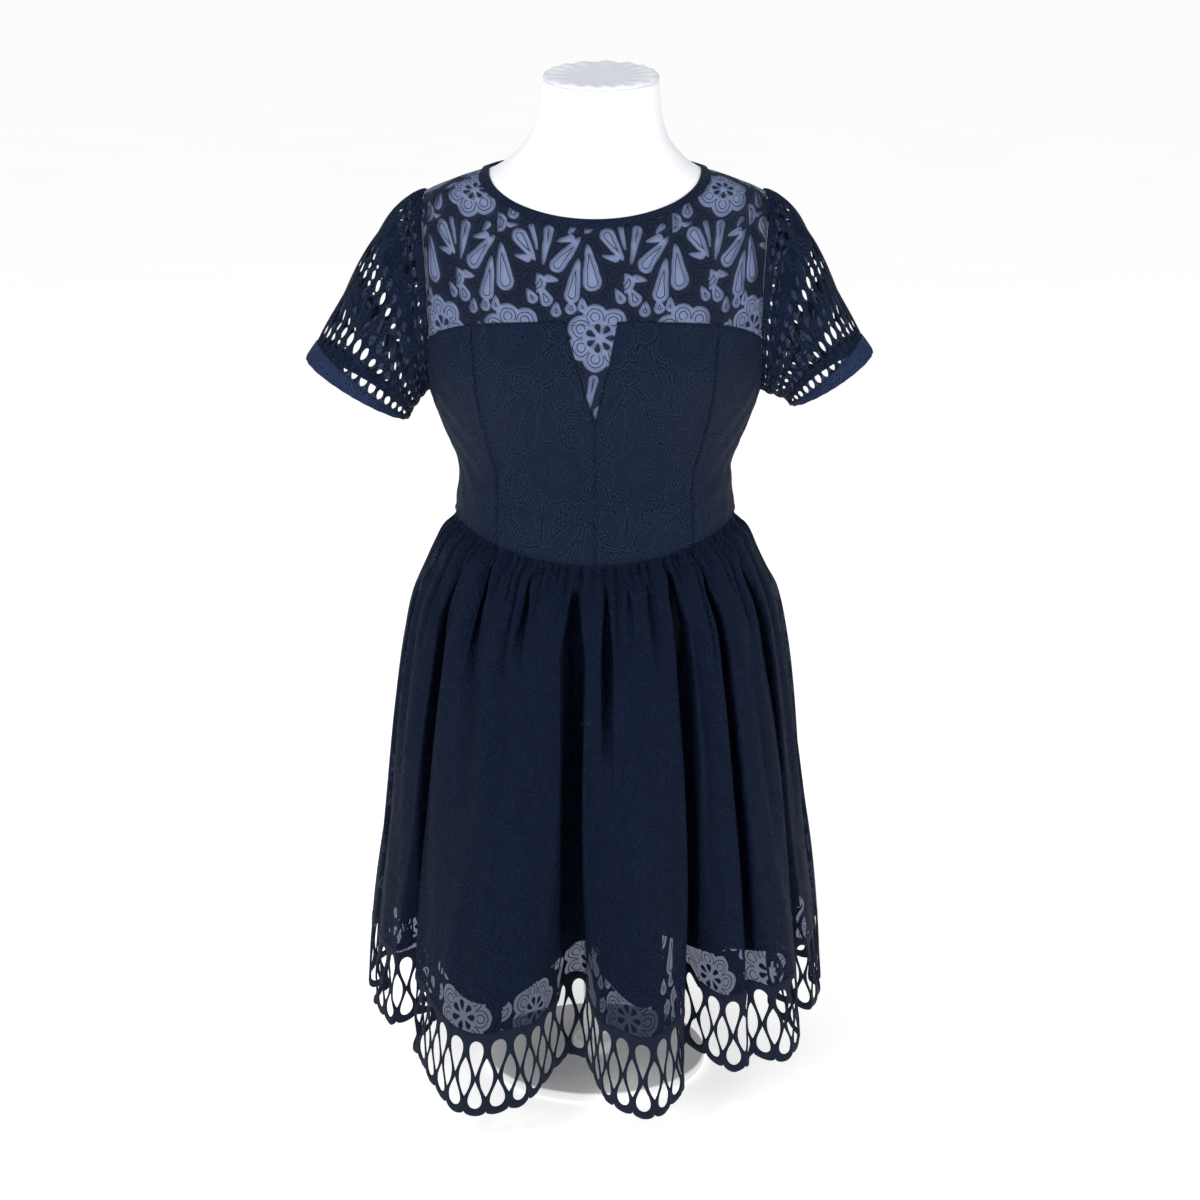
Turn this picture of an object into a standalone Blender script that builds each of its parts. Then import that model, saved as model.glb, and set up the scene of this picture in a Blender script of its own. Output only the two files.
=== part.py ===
"""A cocktail dress of embroidered organza on a white dress form with a short stand.

Metres, +Z up, with the front of the dress facing -Y. Everything is built about the axis of the form's
pole, and moved at the end so that the origin is the bottom centre of the whole part's box.
A place on the bodice is a turn about that axis (0 at the centre front, 90 degrees at the +X side) and a
height. A place on the skirt is a share of its cloth and a share of the way down from waist to scallops.
"""

import math
from collections import namedtuple

import bpy
from mathutils import Matrix, Vector

CLOTH = 0.0012  # wall of the bodice, sleeves and skirt
CORD_CLOTH = 0.0018  # wall of the thickly stitched border, cuffs and neck binding
LINING = 0.0010
SEAM = 0.0003  # gap between two pieces that are sewn together
WAIST_GAP, BORDER_GAP = 0.0006, 0.0005  # the same at the waist and over the border, where edges tilt
SMALL = 1e-4  # step for a surface's slope

Section = namedtuple("Section", "height half_width front back power")
Fold = namedtuple("Fold", "turn depth_top depth_hem mouth_top mouth_hem start fade")
Ridge = namedtuple("Ridge", "turn rise spread drop")
Flare = namedtuple("Flare", "down side front back")
Sleeve = namedtuple("Sleeve", "name side cuff_outer cuff_inner half_depth")
Look = namedtuple("Look", "name colour roughness metallic")

# ---------------------------------------------------------------- driving dimensions

WAIST_FRONT, WAIST_SIDE, WAIST_BACK = 0.575, 0.607, 0.606
YOKE_FRONT, YOKE_BACK = 0.822, 0.815
POINT_HEIGHT = 0.721  # tip of the V of the yoke
POINT_LEFT, POINT_RIGHT = 0.029, 0.022  # half widths of the V at the yoke line
UNDERARM, SHOULDER_TIP, NECK_POINT = 0.737, 0.930, 0.955
NECK_FRONT, NECK_BACK = 0.915, 0.966
BINDING = 0.009
ARM_FRONT, ARM_BACK = 22.0, 19.0  # degrees that the armhole reaches round to the front and back
ARM_STEPS = 11  # straight stretches in half an armhole
YOKE_ARM_STEPS = 7  # those of them above the yoke line
ARM_INSET = 0.993  # the sleeve's ring against the armhole
SIDE_ROWS, POINT_ROWS = 4, 4  # up the side seam, and up the V
BODICE_ROWS = SIDE_ROWS + ARM_STEPS - YOKE_ARM_STEPS
SIDE_COLUMNS, CENTRE_COLUMNS, BACK_COLUMNS = 3, 5, 6
YOKE_ROWS = (0.0, 0.15, 0.34, 0.56, 0.79, 1.0)

BODY = (  # the inside of the cloth, and below the waist the hips of the form
    Section(0.400, 0.150, 0.094, 0.104, 2.1),
    Section(0.440, 0.166, 0.104, 0.118, 2.1),
    Section(0.500, 0.165, 0.108, 0.117, 2.1),
    Section(0.560, 0.147, 0.109, 0.107, 2.1),
    Section(0.607, 0.1415, 0.112, 0.104, 2.1),
    Section(0.652, 0.1370, 0.106, 0.100, 2.1),
    Section(0.700, 0.153, 0.121, 0.104, 2.1),
    Section(0.737, 0.166, 0.132, 0.109, 2.15),
    Section(0.775, 0.172, 0.136, 0.113, 2.2),
    Section(0.822, 0.176, 0.130, 0.117, 2.2),
    Section(0.870, 0.1775, 0.115, 0.114, 2.15),
    Section(0.903, 0.176, 0.101, 0.105, 2.1),
    Section(0.918, 0.174, 0.094, 0.099, 2.05),
    Section(0.930, 0.168, 0.088, 0.093, 2.0),
    Section(0.944, 0.137, 0.082, 0.086, 2.0),
    Section(0.955, 0.1045, 0.078, 0.082, 2.0),
    Section(0.966, 0.088, 0.073, 0.076, 2.0),
    Section(0.985, 0.072, 0.066, 0.068, 2.0),
    Section(1.010, 0.0635, 0.060, 0.062, 2.0),
    Section(1.050, 0.0585, 0.055, 0.059, 2.0),
)
# Two rounded rises of the body, each as far from the middle as the offset, and the height of their middles.
BUST_OFFSET, BUST_HEIGHT, BUST_SPREAD, BUST_RISE = 0.074, 0.768, 0.052, 0.012
# Height, and how far the princess seam is from the centre front there.
PRINCESS = ((0.575, 0.098), (0.652, 0.096), (0.700, 0.106), (0.760, 0.116), (0.822, 0.120))

HEM_SIDE, HEM_FRONT, HEM_BACK = 0.092, 0.053, 0.064  # height of the scallops
FOLD_LIFT, FOLD_OVERHANG = 0.42, 0.10  # how far a fold lifts the hem and curls over, by its depth
SKIRT_FLARE = (  # what the skirt adds to the waist's half width and depths on its way down
    Flare(0.000, 0.0000, 0.0000, 0.0000),
    Flare(0.008, 0.0003, 0.0003, 0.0003),
    Flare(0.035, 0.0140, 0.0110, 0.0110),
    Flare(0.072, 0.0240, 0.0200, 0.0200),
    Flare(0.156, 0.0450, 0.0360, 0.0360),
    Flare(0.213, 0.0520, 0.0440, 0.0430),
    Flare(0.400, 0.0660, 0.0660, 0.0600),
    Flare(0.600, 0.0775, 0.0840, 0.0740),
    Flare(0.830, 0.0915, 0.1010, 0.0870),
    Flare(1.000, 0.0990, 0.1120, 0.0960),
)
FOLDS = (  # troughs of the skirt
    Fold(-168, 0.010, 0.020, 0.016, 0.024, 0.03, 1.0),
    Fold(-140, 0.010, 0.024, 0.016, 0.026, 0.03, 1.0),
    Fold(-113, 0.010, 0.022, 0.016, 0.024, 0.03, 1.0),
    Fold(-78, 0.006, 0.018, 0.014, 0.022, 0.10, 1.0),
    Fold(-55, 0.010, 0.044, 0.014, 0.026, 0.04, 1.0),
    Fold(-40, 0.013, 0.000, 0.012, 0.012, 0.03, 0.30),
    Fold(-23, 0.012, 0.000, 0.012, 0.012, 0.03, 0.24),
    Fold(-6.5, 0.021, 0.056, 0.014, 0.044, 0.03, 1.0),
    Fold(3.5, 0.010, 0.000, 0.012, 0.012, 0.06, 0.42),
    Fold(11, 0.009, 0.000, 0.011, 0.010, 0.03, 0.18),
    Fold(18, 0.010, 0.000, 0.011, 0.010, 0.03, 0.20),
    Fold(27.5, 0.020, 0.046, 0.013, 0.032, 0.03, 1.0),
    Fold(42, 0.016, 0.014, 0.013, 0.018, 0.03, 1.0),
    Fold(63, 0.010, 0.040, 0.015, 0.028, 0.06, 1.0),
    Fold(84, 0.006, 0.014, 0.014, 0.018, 0.10, 1.0),
    Fold(108, 0.010, 0.022, 0.016, 0.024, 0.03, 1.0),
    Fold(133, 0.010, 0.024, 0.016, 0.026, 0.03, 1.0),
    Fold(160, 0.010, 0.022, 0.016, 0.024, 0.03, 1.0),
)
RIDGES = (  # broad lobes of the skirt at the hem
    Ridge(-29, 0.032, 13, 0.024),
    Ridge(11.5, 0.034, 7, 0.009),
    Ridge(49, 0.018, 9, 0.007),
    Ridge(-126, 0.008, 10, 0.003),
    Ridge(147, 0.008, 10, 0.003),
    Ridge(178, 0.008, 8, 0.003),
)
BORDER_HEIGHT = 0.084
FRONT_REPEATS, BACK_REPEATS = 40, 30  # of the border's openwork
GATHER_COLUMNS = 58  # in each half of the skirt, two for a gather
GATHERED_ROWS = (0.0, 0.03, 0.08, 0.16)
SKIRT_ROWS = (0.30, 0.48, 0.67)
GATHER_RISE, GATHER_END = 0.0026, 0.20
LINING_COLUMNS = 46
LINING_ROWS = (0.008, 0.10, 0.36, 0.60)
LINING_END, LINING_INSET_TOP, LINING_INSET = 0.80, 0.003, 0.012

SLEEVES = (
    Sleeve("left", -1, (-0.2900, -0.006, 0.7640), (-0.1920, 0.008, 0.702), 0.054),
    Sleeve("right", 1, (0.2780, -0.014, 0.772), (0.2010, 0.018, 0.714), 0.053),
)
CUFF_START = 0.895  # share of the sleeve above the cuff
SLIT_ROWS = ((0.690, 0.765), (0.785, 0.870))
SLITS = 11  # in each half of a sleeve, in each row

EASES = (  # height, and the form's gap inside the cloth there
    (0.400, 0.0120),
    (0.560, 0.0110),
    (0.590, 0.0085),
    (0.610, 0.0035),
    (0.895, 0.0030),
    (0.924, 0.0058),
    (0.940, 0.0030),
    (0.955, 0.0024),
    (1.050, 0.0024),
)
NECK_TILT = 0.16  # rise of the neck's top towards the back, for each metre
NECK_TOP = 1.042
CAP_THICKNESS = 0.004
POLE_RADIUS, FLANGE_RADIUS, FLANGE_THICKNESS = 0.0125, 0.045, 0.006
BASE_RADIUS, BASE_THICKNESS, BASE_EDGE = 0.118, 0.010, 0.002
TORSO_BOTTOM = 0.400
FORM_SIDES = 28

LOOKS = {
    "embroidery": Look("navy_embroidered_organza", (0.012, 0.020, 0.050), 0.75, 0.0),
    "sheer": Look("navy_sheer_yoke", (0.050, 0.070, 0.130), 0.70, 0.0),
    "cord": Look("navy_corded_lace", (0.010, 0.016, 0.042), 0.70, 0.0),
    "lining": Look("navy_lining", (0.008, 0.012, 0.030), 0.55, 0.0),
    "form": Look("white_jersey_cover", (0.85, 0.86, 0.88), 0.85, 0.0),
    "stand": Look("white_painted_steel", (0.88, 0.88, 0.88), 0.35, 0.0),
}


# ---------------------------------------------------------------- small tools


def mix(a, b, share):
    return a + (b - a) * share


def eased(value, low, high):
    """0 below low, 1 above high, and a smooth rise between."""
    share = min(1.0, max(0.0, (value - low) / (high - low)))
    return share * share * (3 - 2 * share)


def along(rows, key):
    """The table's columns at a key, on a smooth curve through its rows, which the first column sorts."""
    last = len(rows) - 1
    i = next((k for k in range(last) if key <= rows[k + 1][0]), last - 1)
    low, high = rows[i], rows[i + 1]
    before, after = rows[max(i - 1, 0)], rows[min(i + 2, last)]
    span = high[0] - low[0]
    t = min(1.0, max(0.0, (key - low[0]) / span))
    values = []
    for column in range(1, len(low)):
        step = (high[column] - low[column]) / span
        slopes = []
        for a, b in ((before, low), (high, after)):
            other = (b[column] - a[column]) / (b[0] - a[0]) if b[0] > a[0] else step
            same_way = other * step > 0
            slopes.append(2 * other * step / (other + step) if same_way else 0.0)
        t2, t3 = t * t, t * t * t
        values.append(
            (2 * t3 - 3 * t2 + 1) * low[column]
            + (t3 - 2 * t2 + t) * span * slopes[0]
            + (3 * t2 - 2 * t3) * high[column]
            + (t3 - t2) * span * slopes[1]
        )
    return values


def power(value, exponent):
    return math.copysign(abs(value) ** exponent, value)


def raised(surface, a, b, out, step_a=SMALL, step_b=SMALL):
    """The point of surface(a, b) moved out along its normal, which is d/da crossed with d/db."""
    point = surface(a, b)
    if out == 0.0:
        return point
    across = surface(a + step_a, b) - surface(a - step_a, b)
    up = surface(a, b + step_b) - surface(a, b - step_b)
    return point + across.cross(up).normalized() * out


# ---------------------------------------------------------------- the bodice's surface


def body_surface(turn, height):
    """The inside of the cloth at a turn in radians and a height."""
    half_width, front, back, exponent = along(BODY, height)
    side, ahead = math.sin(turn), math.cos(turn)
    x = half_width * power(side, 2 / exponent)
    y = -(front if ahead > 0 else back) * power(ahead, 2 / exponent)
    if ahead > 0:
        off = (abs(x) - BUST_OFFSET) / BUST_SPREAD
        up = (height - BUST_HEIGHT) / BUST_SPREAD
        y -= BUST_RISE * math.exp(-off * off - up * up) * min(1.0, 2 * ahead)
    return Vector((x, y, height))


def body_place(turn, height, out):
    return raised(body_surface, turn, height, out)


def turn_of(x, height):
    """The turn, in front, of a point that lies x to the side."""
    half_width, _, _, exponent = along(BODY, height)
    return math.asin(max(-1.0, min(1.0, power(x / half_width, exponent / 2))))


def waist_line(turn):
    ahead = math.cos(turn)
    end = WAIST_FRONT if ahead > 0 else WAIST_BACK
    return mix(WAIST_SIDE, end, ahead * ahead)


def armhole(step, back=False, inset=1.0):
    """(turn, height) at a step down half an armhole, on the +X side."""
    angle = math.pi * step / ARM_STEPS
    middle, half = (SHOULDER_TIP + UNDERARM) / 2, (SHOULDER_TIP - UNDERARM) / 2
    reach = ARM_BACK if back else -ARM_FRONT
    turn = math.radians(90 + reach * math.sin(angle) * inset)
    return turn, middle + half * math.cos(angle) * inset


YOKE_SIDE = armhole(YOKE_ARM_STEPS)[1]


def yoke_line(turn):
    """Level in the middle, falling to the armhole's corners."""
    ahead = math.cos(turn) > 0
    off = abs(math.remainder(turn if ahead else turn - math.pi, 2 * math.pi))
    corner = armhole(YOKE_ARM_STEPS, not ahead)[0]
    reach = corner if ahead else math.pi - corner
    share = min(1.0, off / reach)
    return mix(YOKE_FRONT if ahead else YOKE_BACK, YOKE_SIDE, share**2.6)


def neckline(angle, drop):
    """(turn, height) of the neckline at an angle from the centre front, drop metres below its edge."""
    ahead = math.cos(angle)
    if ahead >= 0:
        height = mix(NECK_POINT, NECK_FRONT, ahead**1.15)
        turn = turn_of(along(BODY, NECK_POINT)[0] * math.sin(angle), height)
        return turn, height - drop * mix(0.30, 0.92, ahead)
    height = mix(NECK_POINT, NECK_BACK, ahead * ahead)
    return angle, height - drop * mix(0.30, 0.75, ahead * ahead)


def princess(height):
    return turn_of(along(PRINCESS, height)[0], height)


# ---------------------------------------------------------------- sheets of cloth and their solids


class Sheet:
    """Points in a piece's own two coordinates, and the faces that join them."""

    def __init__(self):
        self.points = []
        self.faces = []

    def row(self, points):
        first = len(self.points)
        self.points.extend(points)
        return list(range(first, len(self.points)))

    def join(self, low, high, open_at=()):
        """Faces between two rows. Rows of unlike counts are joined by triangles."""
        if len(low) == len(high):
            for i in range(len(low) - 1):
                if i not in open_at:
                    self.faces.append((low[i], low[i + 1], high[i + 1], high[i]))
            return
        i = j = 0
        while i < len(low) - 1 or j < len(high) - 1:
            ahead_low = (i + 1) / (len(low) - 1)
            ahead_high = (j + 1) / (len(high) - 1)
            if j == len(high) - 1 or (i < len(low) - 1 and ahead_low <= ahead_high):
                self.faces.append((low[i], low[i + 1], high[j]))
                i += 1
            else:
                self.faces.append((low[i], high[j + 1], high[j]))
                j += 1

    def grid(self, where, across, up):
        """A whole grid. across and up are lists of shares, and where turns a pair into a place."""
        rows = [self.row([where(s, v) for s in across]) for v in up]
        for low, high in zip(rows, rows[1:]):
            self.join(low, high)

    def solid(self, name, place, wall, look, out=0.0):
        """A closed wall from out to out + wall on the surface that place gives."""
        inner = [place(a, b, out) for a, b in self.points]
        outer = [place(a, b, out + wall) for a, b in self.points]
        count = len(inner)
        faces = []
        rim = {}
        for face in self.faces:
            for a, b in zip(face, face[1:] + face[:1]):
                if rim.pop((b, a), None) is None:
                    rim[(a, b)] = True
            # Both sides of the wall are cut along the shorter diagonal, so that they stay a wall apart.
            corners = [outer[i] for i in face]
            if len(face) == 4 and (corners[1] - corners[3]).length < (corners[0] - corners[2]).length:
                face = face[1:] + face[:1]
            for k in range(1, len(face) - 1):
                a, b, c = face[0], face[k], face[k + 1]
                faces += [(count + a, count + b, count + c), (a, c, b)]
        faces += [(a, b, count + b, count + a) for a, b in rim]
        return add_object(name, inner + outer, faces, look)


def add_object(name, points, faces, look):
    mesh = bpy.data.meshes.new(name)
    mesh.from_pydata([tuple(p) for p in points], [], faces)
    mesh.shade_smooth()
    mesh.set_sharp_from_angle(angle=math.radians(40))
    mesh.materials.append(material(look))
    made = bpy.data.objects.new(name, mesh)
    bpy.context.scene.collection.objects.link(made)
    return made


def material(look):
    wanted = LOOKS[look]
    found = bpy.data.materials.get(wanted.name)
    if found:
        return found
    made = bpy.data.materials.new(wanted.name)
    made.use_nodes = True
    shader = made.node_tree.nodes["Principled BSDF"]
    shader.inputs["Base Color"].default_value = (*wanted.colour, 1.0)
    shader.inputs["Roughness"].default_value = wanted.roughness
    shader.inputs["Metallic"].default_value = wanted.metallic
    return made


def shares(count):
    return [i / count for i in range(count + 1)]


# ---------------------------------------------------------------- bodice


HALF_SEAM_TURN = SEAM / 2 / 0.15  # half a seam's gap as a turn about the body, in radians


def seam_side(places, side):
    """The places moved half a seam's gap to one side."""
    return [(turn + side * HALF_SEAM_TURN, height) for turn, height in places]


def panel(name, left, right, across):
    """A bodice panel between two edges, each a list of (turn, height) places from the waist to the yoke."""
    count = len(left) - 1

    def climb(place):
        low, high = waist_line(place[0]), yoke_line(place[0])
        return (place[1] - low) / (high - low)

    def where(s, v):
        a, b = left[round(v * count)], right[round(v * count)]
        turn = mix(a[0], b[0], s)
        low, high = waist_line(turn) + SEAM / 2, yoke_line(turn) - SEAM / 2
        return turn, mix(low, high, mix(climb(a), climb(b), s))

    sheet = Sheet()
    sheet.grid(where, shares(across), shares(count))
    sheet.solid(name, body_place, CLOTH, "embroidery")


def side_edge(back):
    """The side seam from the waist to the underarm, then the armhole up to the yoke."""
    seam = [(math.pi / 2, mix(WAIST_SIDE, UNDERARM, s)) for s in shares(SIDE_ROWS)]
    return seam + [armhole(k, back) for k in range(ARM_STEPS - 1, YOKE_ARM_STEPS - 1, -1)]


def princess_edge():
    places = []
    for v in shares(BODICE_ROWS):
        turn = princess(mix(WAIST_FRONT, YOKE_FRONT, v))
        for _ in range(6):
            height = mix(waist_line(turn), yoke_line(turn), v)
            turn = princess(height)
        places.append((turn, height))
    return places


def point_edge(half_width):
    """The centre front seam up to the tip of the V, then one side of the V."""
    seam = [(0.0, mix(WAIST_FRONT, POINT_HEIGHT, s)) for s in shares(BODICE_ROWS - POINT_ROWS)]
    rise = [mix(POINT_HEIGHT, YOKE_FRONT, s) for s in shares(POINT_ROWS)[1:]]
    return seam + [(point_turn(half_width, height), height) for height in rise]


def point_turn(half_width, height):
    return turn_of(half_width, YOKE_FRONT) * (height - POINT_HEIGHT) / (YOKE_FRONT - POINT_HEIGHT)


def mirrored(places, whole=0.0):
    return [(whole - turn, height) for turn, height in places]


def make_bodice():
    side, middle, behind = side_edge(False), princess_edge(), side_edge(True)
    centre_back = [(math.pi, mix(WAIST_BACK, YOKE_BACK, v)) for v in shares(BODICE_ROWS)]
    to_left, to_right = point_edge(POINT_LEFT), point_edge(POINT_RIGHT)
    pairs = (
        ("front_centre_left", mirrored(middle), mirrored(to_left), CENTRE_COLUMNS),
        ("front_centre_right", to_right, middle, CENTRE_COLUMNS),
        ("front_side_left", mirrored(side), mirrored(middle), SIDE_COLUMNS),
        ("front_side_right", middle, side, SIDE_COLUMNS),
        ("back_right", behind, centre_back, BACK_COLUMNS),
        ("back_left", centre_back, mirrored(behind, 2 * math.pi), BACK_COLUMNS),
    )
    for name, left, right, across in pairs:
        panel(name, seam_side(left, 1), seam_side(right, -1), across)


def make_yokes():
    inside = HALF_SEAM_TURN
    arm_front = [armhole(k) for k in range(YOKE_ARM_STEPS + 1)]
    arm_back = [armhole(k, back=True) for k in range(YOKE_ARM_STEPS + 1)]

    def yoke(name, edge, angles):
        """A ring from the neck binding out to an edge, with the neckline's angle for each of its points."""
        sheet = Sheet()
        rows = []
        for v in YOKE_ROWS:
            row = []
            for (turn, height), angle in zip(edge, angles):
                start = neckline(angle, BINDING + SEAM)
                row.append((mix(start[0], turn, v), mix(start[1], height, v)))
            rows.append(sheet.row(row))
        for high, low in zip(rows, rows[1:]):
            sheet.join(low, high)
        sheet.solid(name, body_place, CLOTH, "sheer")

    def on_line(turn):
        return turn, yoke_line(turn) + SEAM / 2

    def columns(start, end, count):
        return [mix(start, end, s) for s in shares(count)]

    corner, seam = arm_front[-1][0], princess(yoke_line(0.68))
    down_arm = columns(math.pi / 2, math.radians(62), YOKE_ARM_STEPS)
    rise = YOKE_FRONT - POINT_HEIGHT

    def half(half_width):
        """One half of the front yoke, from the shoulder to the tip of the V, on the +X side."""
        top = turn_of(half_width, YOKE_FRONT)
        line = columns(corner, seam, SIDE_COLUMNS)[:-1] + columns(seam, top - inside, CENTRE_COLUMNS)
        places = seam_side(arm_front[:1], -1) + arm_front[1:-1] + [on_line(turn) for turn in line]
        for s in shares(POINT_ROWS)[1:-1]:
            height = YOKE_FRONT - rise * s
            places.append((point_turn(half_width, height) - inside, height))
        places.append((0.0, POINT_HEIGHT + rise * inside / turn_of(POINT_RIGHT, YOKE_FRONT)))
        angles = down_arm + columns(math.radians(62), math.radians(12), len(line) - 1)[1:]
        angles += columns(math.radians(12), 0.0, POINT_ROWS)[1:]
        angles[0] -= inside
        return places, angles

    right, right_angles = half(POINT_RIGHT)
    left, left_angles = half(POINT_LEFT)
    edge = mirrored(left) + right[-2::-1]
    yoke("yoke_front", edge, [-a for a in left_angles] + right_angles[-2::-1])

    corner, last = arm_back[-1][0], math.pi - inside
    places = seam_side(arm_back[:1], 1) + arm_back[1:-1]
    places += [on_line(turn) for turn in columns(corner, last, BACK_COLUMNS)]
    angles = columns(math.pi / 2 + inside, math.radians(118), YOKE_ARM_STEPS)
    angles += columns(math.radians(118), last, BACK_COLUMNS)[1:]
    yoke("yoke_back_right", places, angles)
    turned_angles = [2 * math.pi - a for a in reversed(angles)]
    yoke("yoke_back_left", mirrored(places, 2 * math.pi)[::-1], turned_angles)


def make_binding():
    """One bias strip round the neck, open at the centre back."""
    last = math.pi - 2 * HALF_SEAM_TURN
    sheet = Sheet()
    columns = [mix(-last, last, s) for s in shares(40)]
    high = sheet.row([neckline(a, 0.0) for a in columns])
    low = sheet.row([neckline(a, BINDING - SEAM / 2) for a in columns])
    sheet.join(low, high)
    sheet.solid("neck_binding", body_place, CORD_CLOTH, "cord")


# ---------------------------------------------------------------- sleeves


def sleeve_surface(sleeve):
    """surface(angle, share) of a sleeve: angle 0 at the shoulder, pi / 2 in front, share 0 at the armhole."""
    outer, inner = Vector(sleeve.cuff_outer), Vector(sleeve.cuff_inner)
    centre, up = (outer + inner) / 2, (outer - inner) / 2
    fore = Vector((0, -sleeve.half_depth, 0))
    away = Vector((sleeve.side, 0, 0))
    armhole_centre = Vector((sleeve.side * 0.170, 0, 0.835))
    along_arm = (centre - armhole_centre).normalized()

    def surface(angle, share):
        angle %= 2 * math.pi
        back = angle > math.pi
        step = (2 * math.pi - angle if back else angle) / math.pi * ARM_STEPS
        turn, height = armhole(step, back, ARM_INSET)
        start = body_place(turn, height, CLOTH + 1.6 * SEAM)
        start.x *= sleeve.side
        top, ahead = math.cos(angle), math.sin(angle)
        end = centre + up * top + fore * ahead
        high = (1 + top) / 2
        leave = away * mix(0.030, 0.125, high) + Vector((0, -0.020 * ahead, mix(-0.030, 0.0, high)))
        arrive = along_arm * mix(0.045, 0.190, high)
        t2, t3 = share * share, share**3
        return (
            start * (2 * t3 - 3 * t2 + 1)
            + leave * (t3 - 2 * t2 + share)
            + end * (3 * t2 - 2 * t3)
            + arrive * (t3 - t2)
        )

    return surface


def make_sleeve(sleeve):
    surface = sleeve_surface(sleeve)
    half_gap = SEAM / 2 / 0.055

    def place(angle, share, out):
        """The wall lies inside the surface, so that it is clear of the armhole's edge."""
        return raised(surface, angle, share, out * sleeve.side, SMALL * 10, SMALL)

    for half, low, high in (("front", 0.0, math.pi), ("back", math.pi, 2 * math.pi)):
        first, last = low + half_gap, high - half_gap

        def at(steps, share):
            return [(mix(first, last, s), share) for s in steps]

        sheet = Sheet()
        rows = [sheet.row(at(shares(ARM_STEPS), share)) for share in (0.0, 0.16, 0.42)]
        slit_steps = shares(2 * SLITS + 1)
        for pair in SLIT_ROWS:
            rows += [sheet.row(at(slit_steps, share)) for share in pair]
        rows.append(sheet.row(at(shares(ARM_STEPS), CUFF_START - SEAM / 0.2)))
        for k, (upper, lower) in enumerate(zip(rows, rows[1:])):
            slits = range(1, 2 * SLITS, 2) if k in (3, 5) else ()
            if sleeve.side < 0:
                upper, lower = upper[::-1], lower[::-1]
            sheet.join(upper, lower, slits)
        sheet.solid(f"sleeve_{sleeve.name}_{half}", place, CLOTH, "embroidery", -CLOTH)

    ring = [2 * math.pi * k / (2 * ARM_STEPS) for k in range(2 * ARM_STEPS)]
    cuff = Sheet()
    rows = [cuff.row([(a, share) for a in ring]) for share in (CUFF_START, 1.0)]
    for upper, lower in zip(rows, rows[1:]):
        upper, lower = upper + upper[:1], lower + lower[:1]
        if sleeve.side < 0:
            upper.reverse()
            lower.reverse()
        cuff.join(upper, lower)
    cuff.solid(f"cuff_{sleeve.name}", place, CORD_CLOTH, "cord", -CORD_CLOTH)


# ---------------------------------------------------------------- skirt


def turn_between(turn, degrees):
    return math.remainder(turn - math.radians(degrees), 2 * math.pi)


def hem_height(turn):
    ahead = math.cos(turn)
    return mix(HEM_SIDE, HEM_FRONT if ahead > 0 else HEM_BACK, ahead * ahead)


def skirt_ring(turn, down, wider=0.0, inset=0.0):
    """A point of the skirt at a turn and a share of the way down. A lining has wider, deeper folds."""
    side, front, back = along(SKIRT_FLARE, down)
    half_width, body_front, body_back, exponent = along(BODY, waist_line(turn))
    exponent = mix(exponent, 2.0, eased(down, 0.0, 0.3))
    ahead, aside = math.cos(turn), math.sin(turn)
    depth = body_front + front if ahead > 0 else body_back + back
    x = (half_width + side) * power(aside, 2 / exponent)
    y = -depth * power(ahead, 2 / exponent)
    radius = math.hypot(x, y)
    slip = sunk = risen = dropped = 0.0
    for ridge in RIDGES:
        off = turn_between(turn, ridge.turn) / math.radians(ridge.spread)
        near = math.exp(-off * off)
        risen += ridge.rise * eased(down, 0.1, 1.0) * near
        dropped += ridge.drop * near
    for fold in FOLDS:
        depth = mix(fold.depth_top, fold.depth_hem, down)
        depth *= eased(down, fold.start, fold.start + 0.12)
        if fold.fade < 1.0:
            depth *= 1 - eased(down, fold.fade - 0.14, fold.fade)
        mouth = mix(fold.mouth_top, fold.mouth_hem, eased(down, 0.1, 1.0)) + wider
        off = turn_between(turn, fold.turn) * radius / mouth
        if abs(off) < 1 and depth > 0:
            near = (1 + math.cos(math.pi * off)) / 2
            sunk = max(sunk, (depth + wider * 0.25) * near)
            if not wider:
                slip += FOLD_OVERHANG * depth * math.sin(math.pi * off) * near
    scale = (radius + risen - sunk - inset) / radius
    lift = (FOLD_LIFT * sunk - dropped) * eased(down, 0.3, 1.0)
    height = mix(waist_line(turn) - WAIST_GAP, hem_height(turn), down) + lift
    return Vector((x * scale - y / radius * slip, y * scale + x / radius * slip, height))


def hem_turns(first, last):
    """Pairs of (length, turn) along the hem between two turns."""
    count = 720
    turns = [mix(first, last, s) for s in shares(count)]
    points = [skirt_ring(turn, 1.0) for turn in turns]
    lengths = [0.0]
    for a, b in zip(points, points[1:]):
        lengths.append(lengths[-1] + (b - a).length)
    return list(zip(lengths, turns))


HEM_TURNS = (hem_turns(-math.pi / 2, math.pi / 2), hem_turns(math.pi / 2, 1.5 * math.pi))


def cloth_turn(share, down):
    """The turn of a share of the cloth, which is 0 to 1 in front and 1 to 2 behind.

    The cloth is shared out evenly by turn at the waist, and by length at the hem.
    """
    share %= 2
    half = HEM_TURNS[int(share)]
    wanted = (share - int(share)) * half[-1][0]
    low, high = 0, len(half) - 1
    while high - low > 1:
        middle = (low + high) // 2
        if half[middle][0] <= wanted:
            low = middle
        else:
            high = middle
    part = (wanted - half[low][0]) / (half[high][0] - half[low][0])
    at_hem = mix(half[low][1], half[high][1], part)
    return mix(math.pi * (share - 0.5), at_hem, eased(down, 0.0, 0.22))


def skirt_surface(share, down):
    point = skirt_ring(cloth_turn(share, down), down)
    rise = GATHER_RISE * math.cos(math.pi * GATHER_COLUMNS * share)
    rise *= eased(down, 0.0, 0.03) * (1 - eased(down, 0.05, GATHER_END))
    return point + Vector((point.x, point.y, 0)).normalized() * rise


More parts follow.
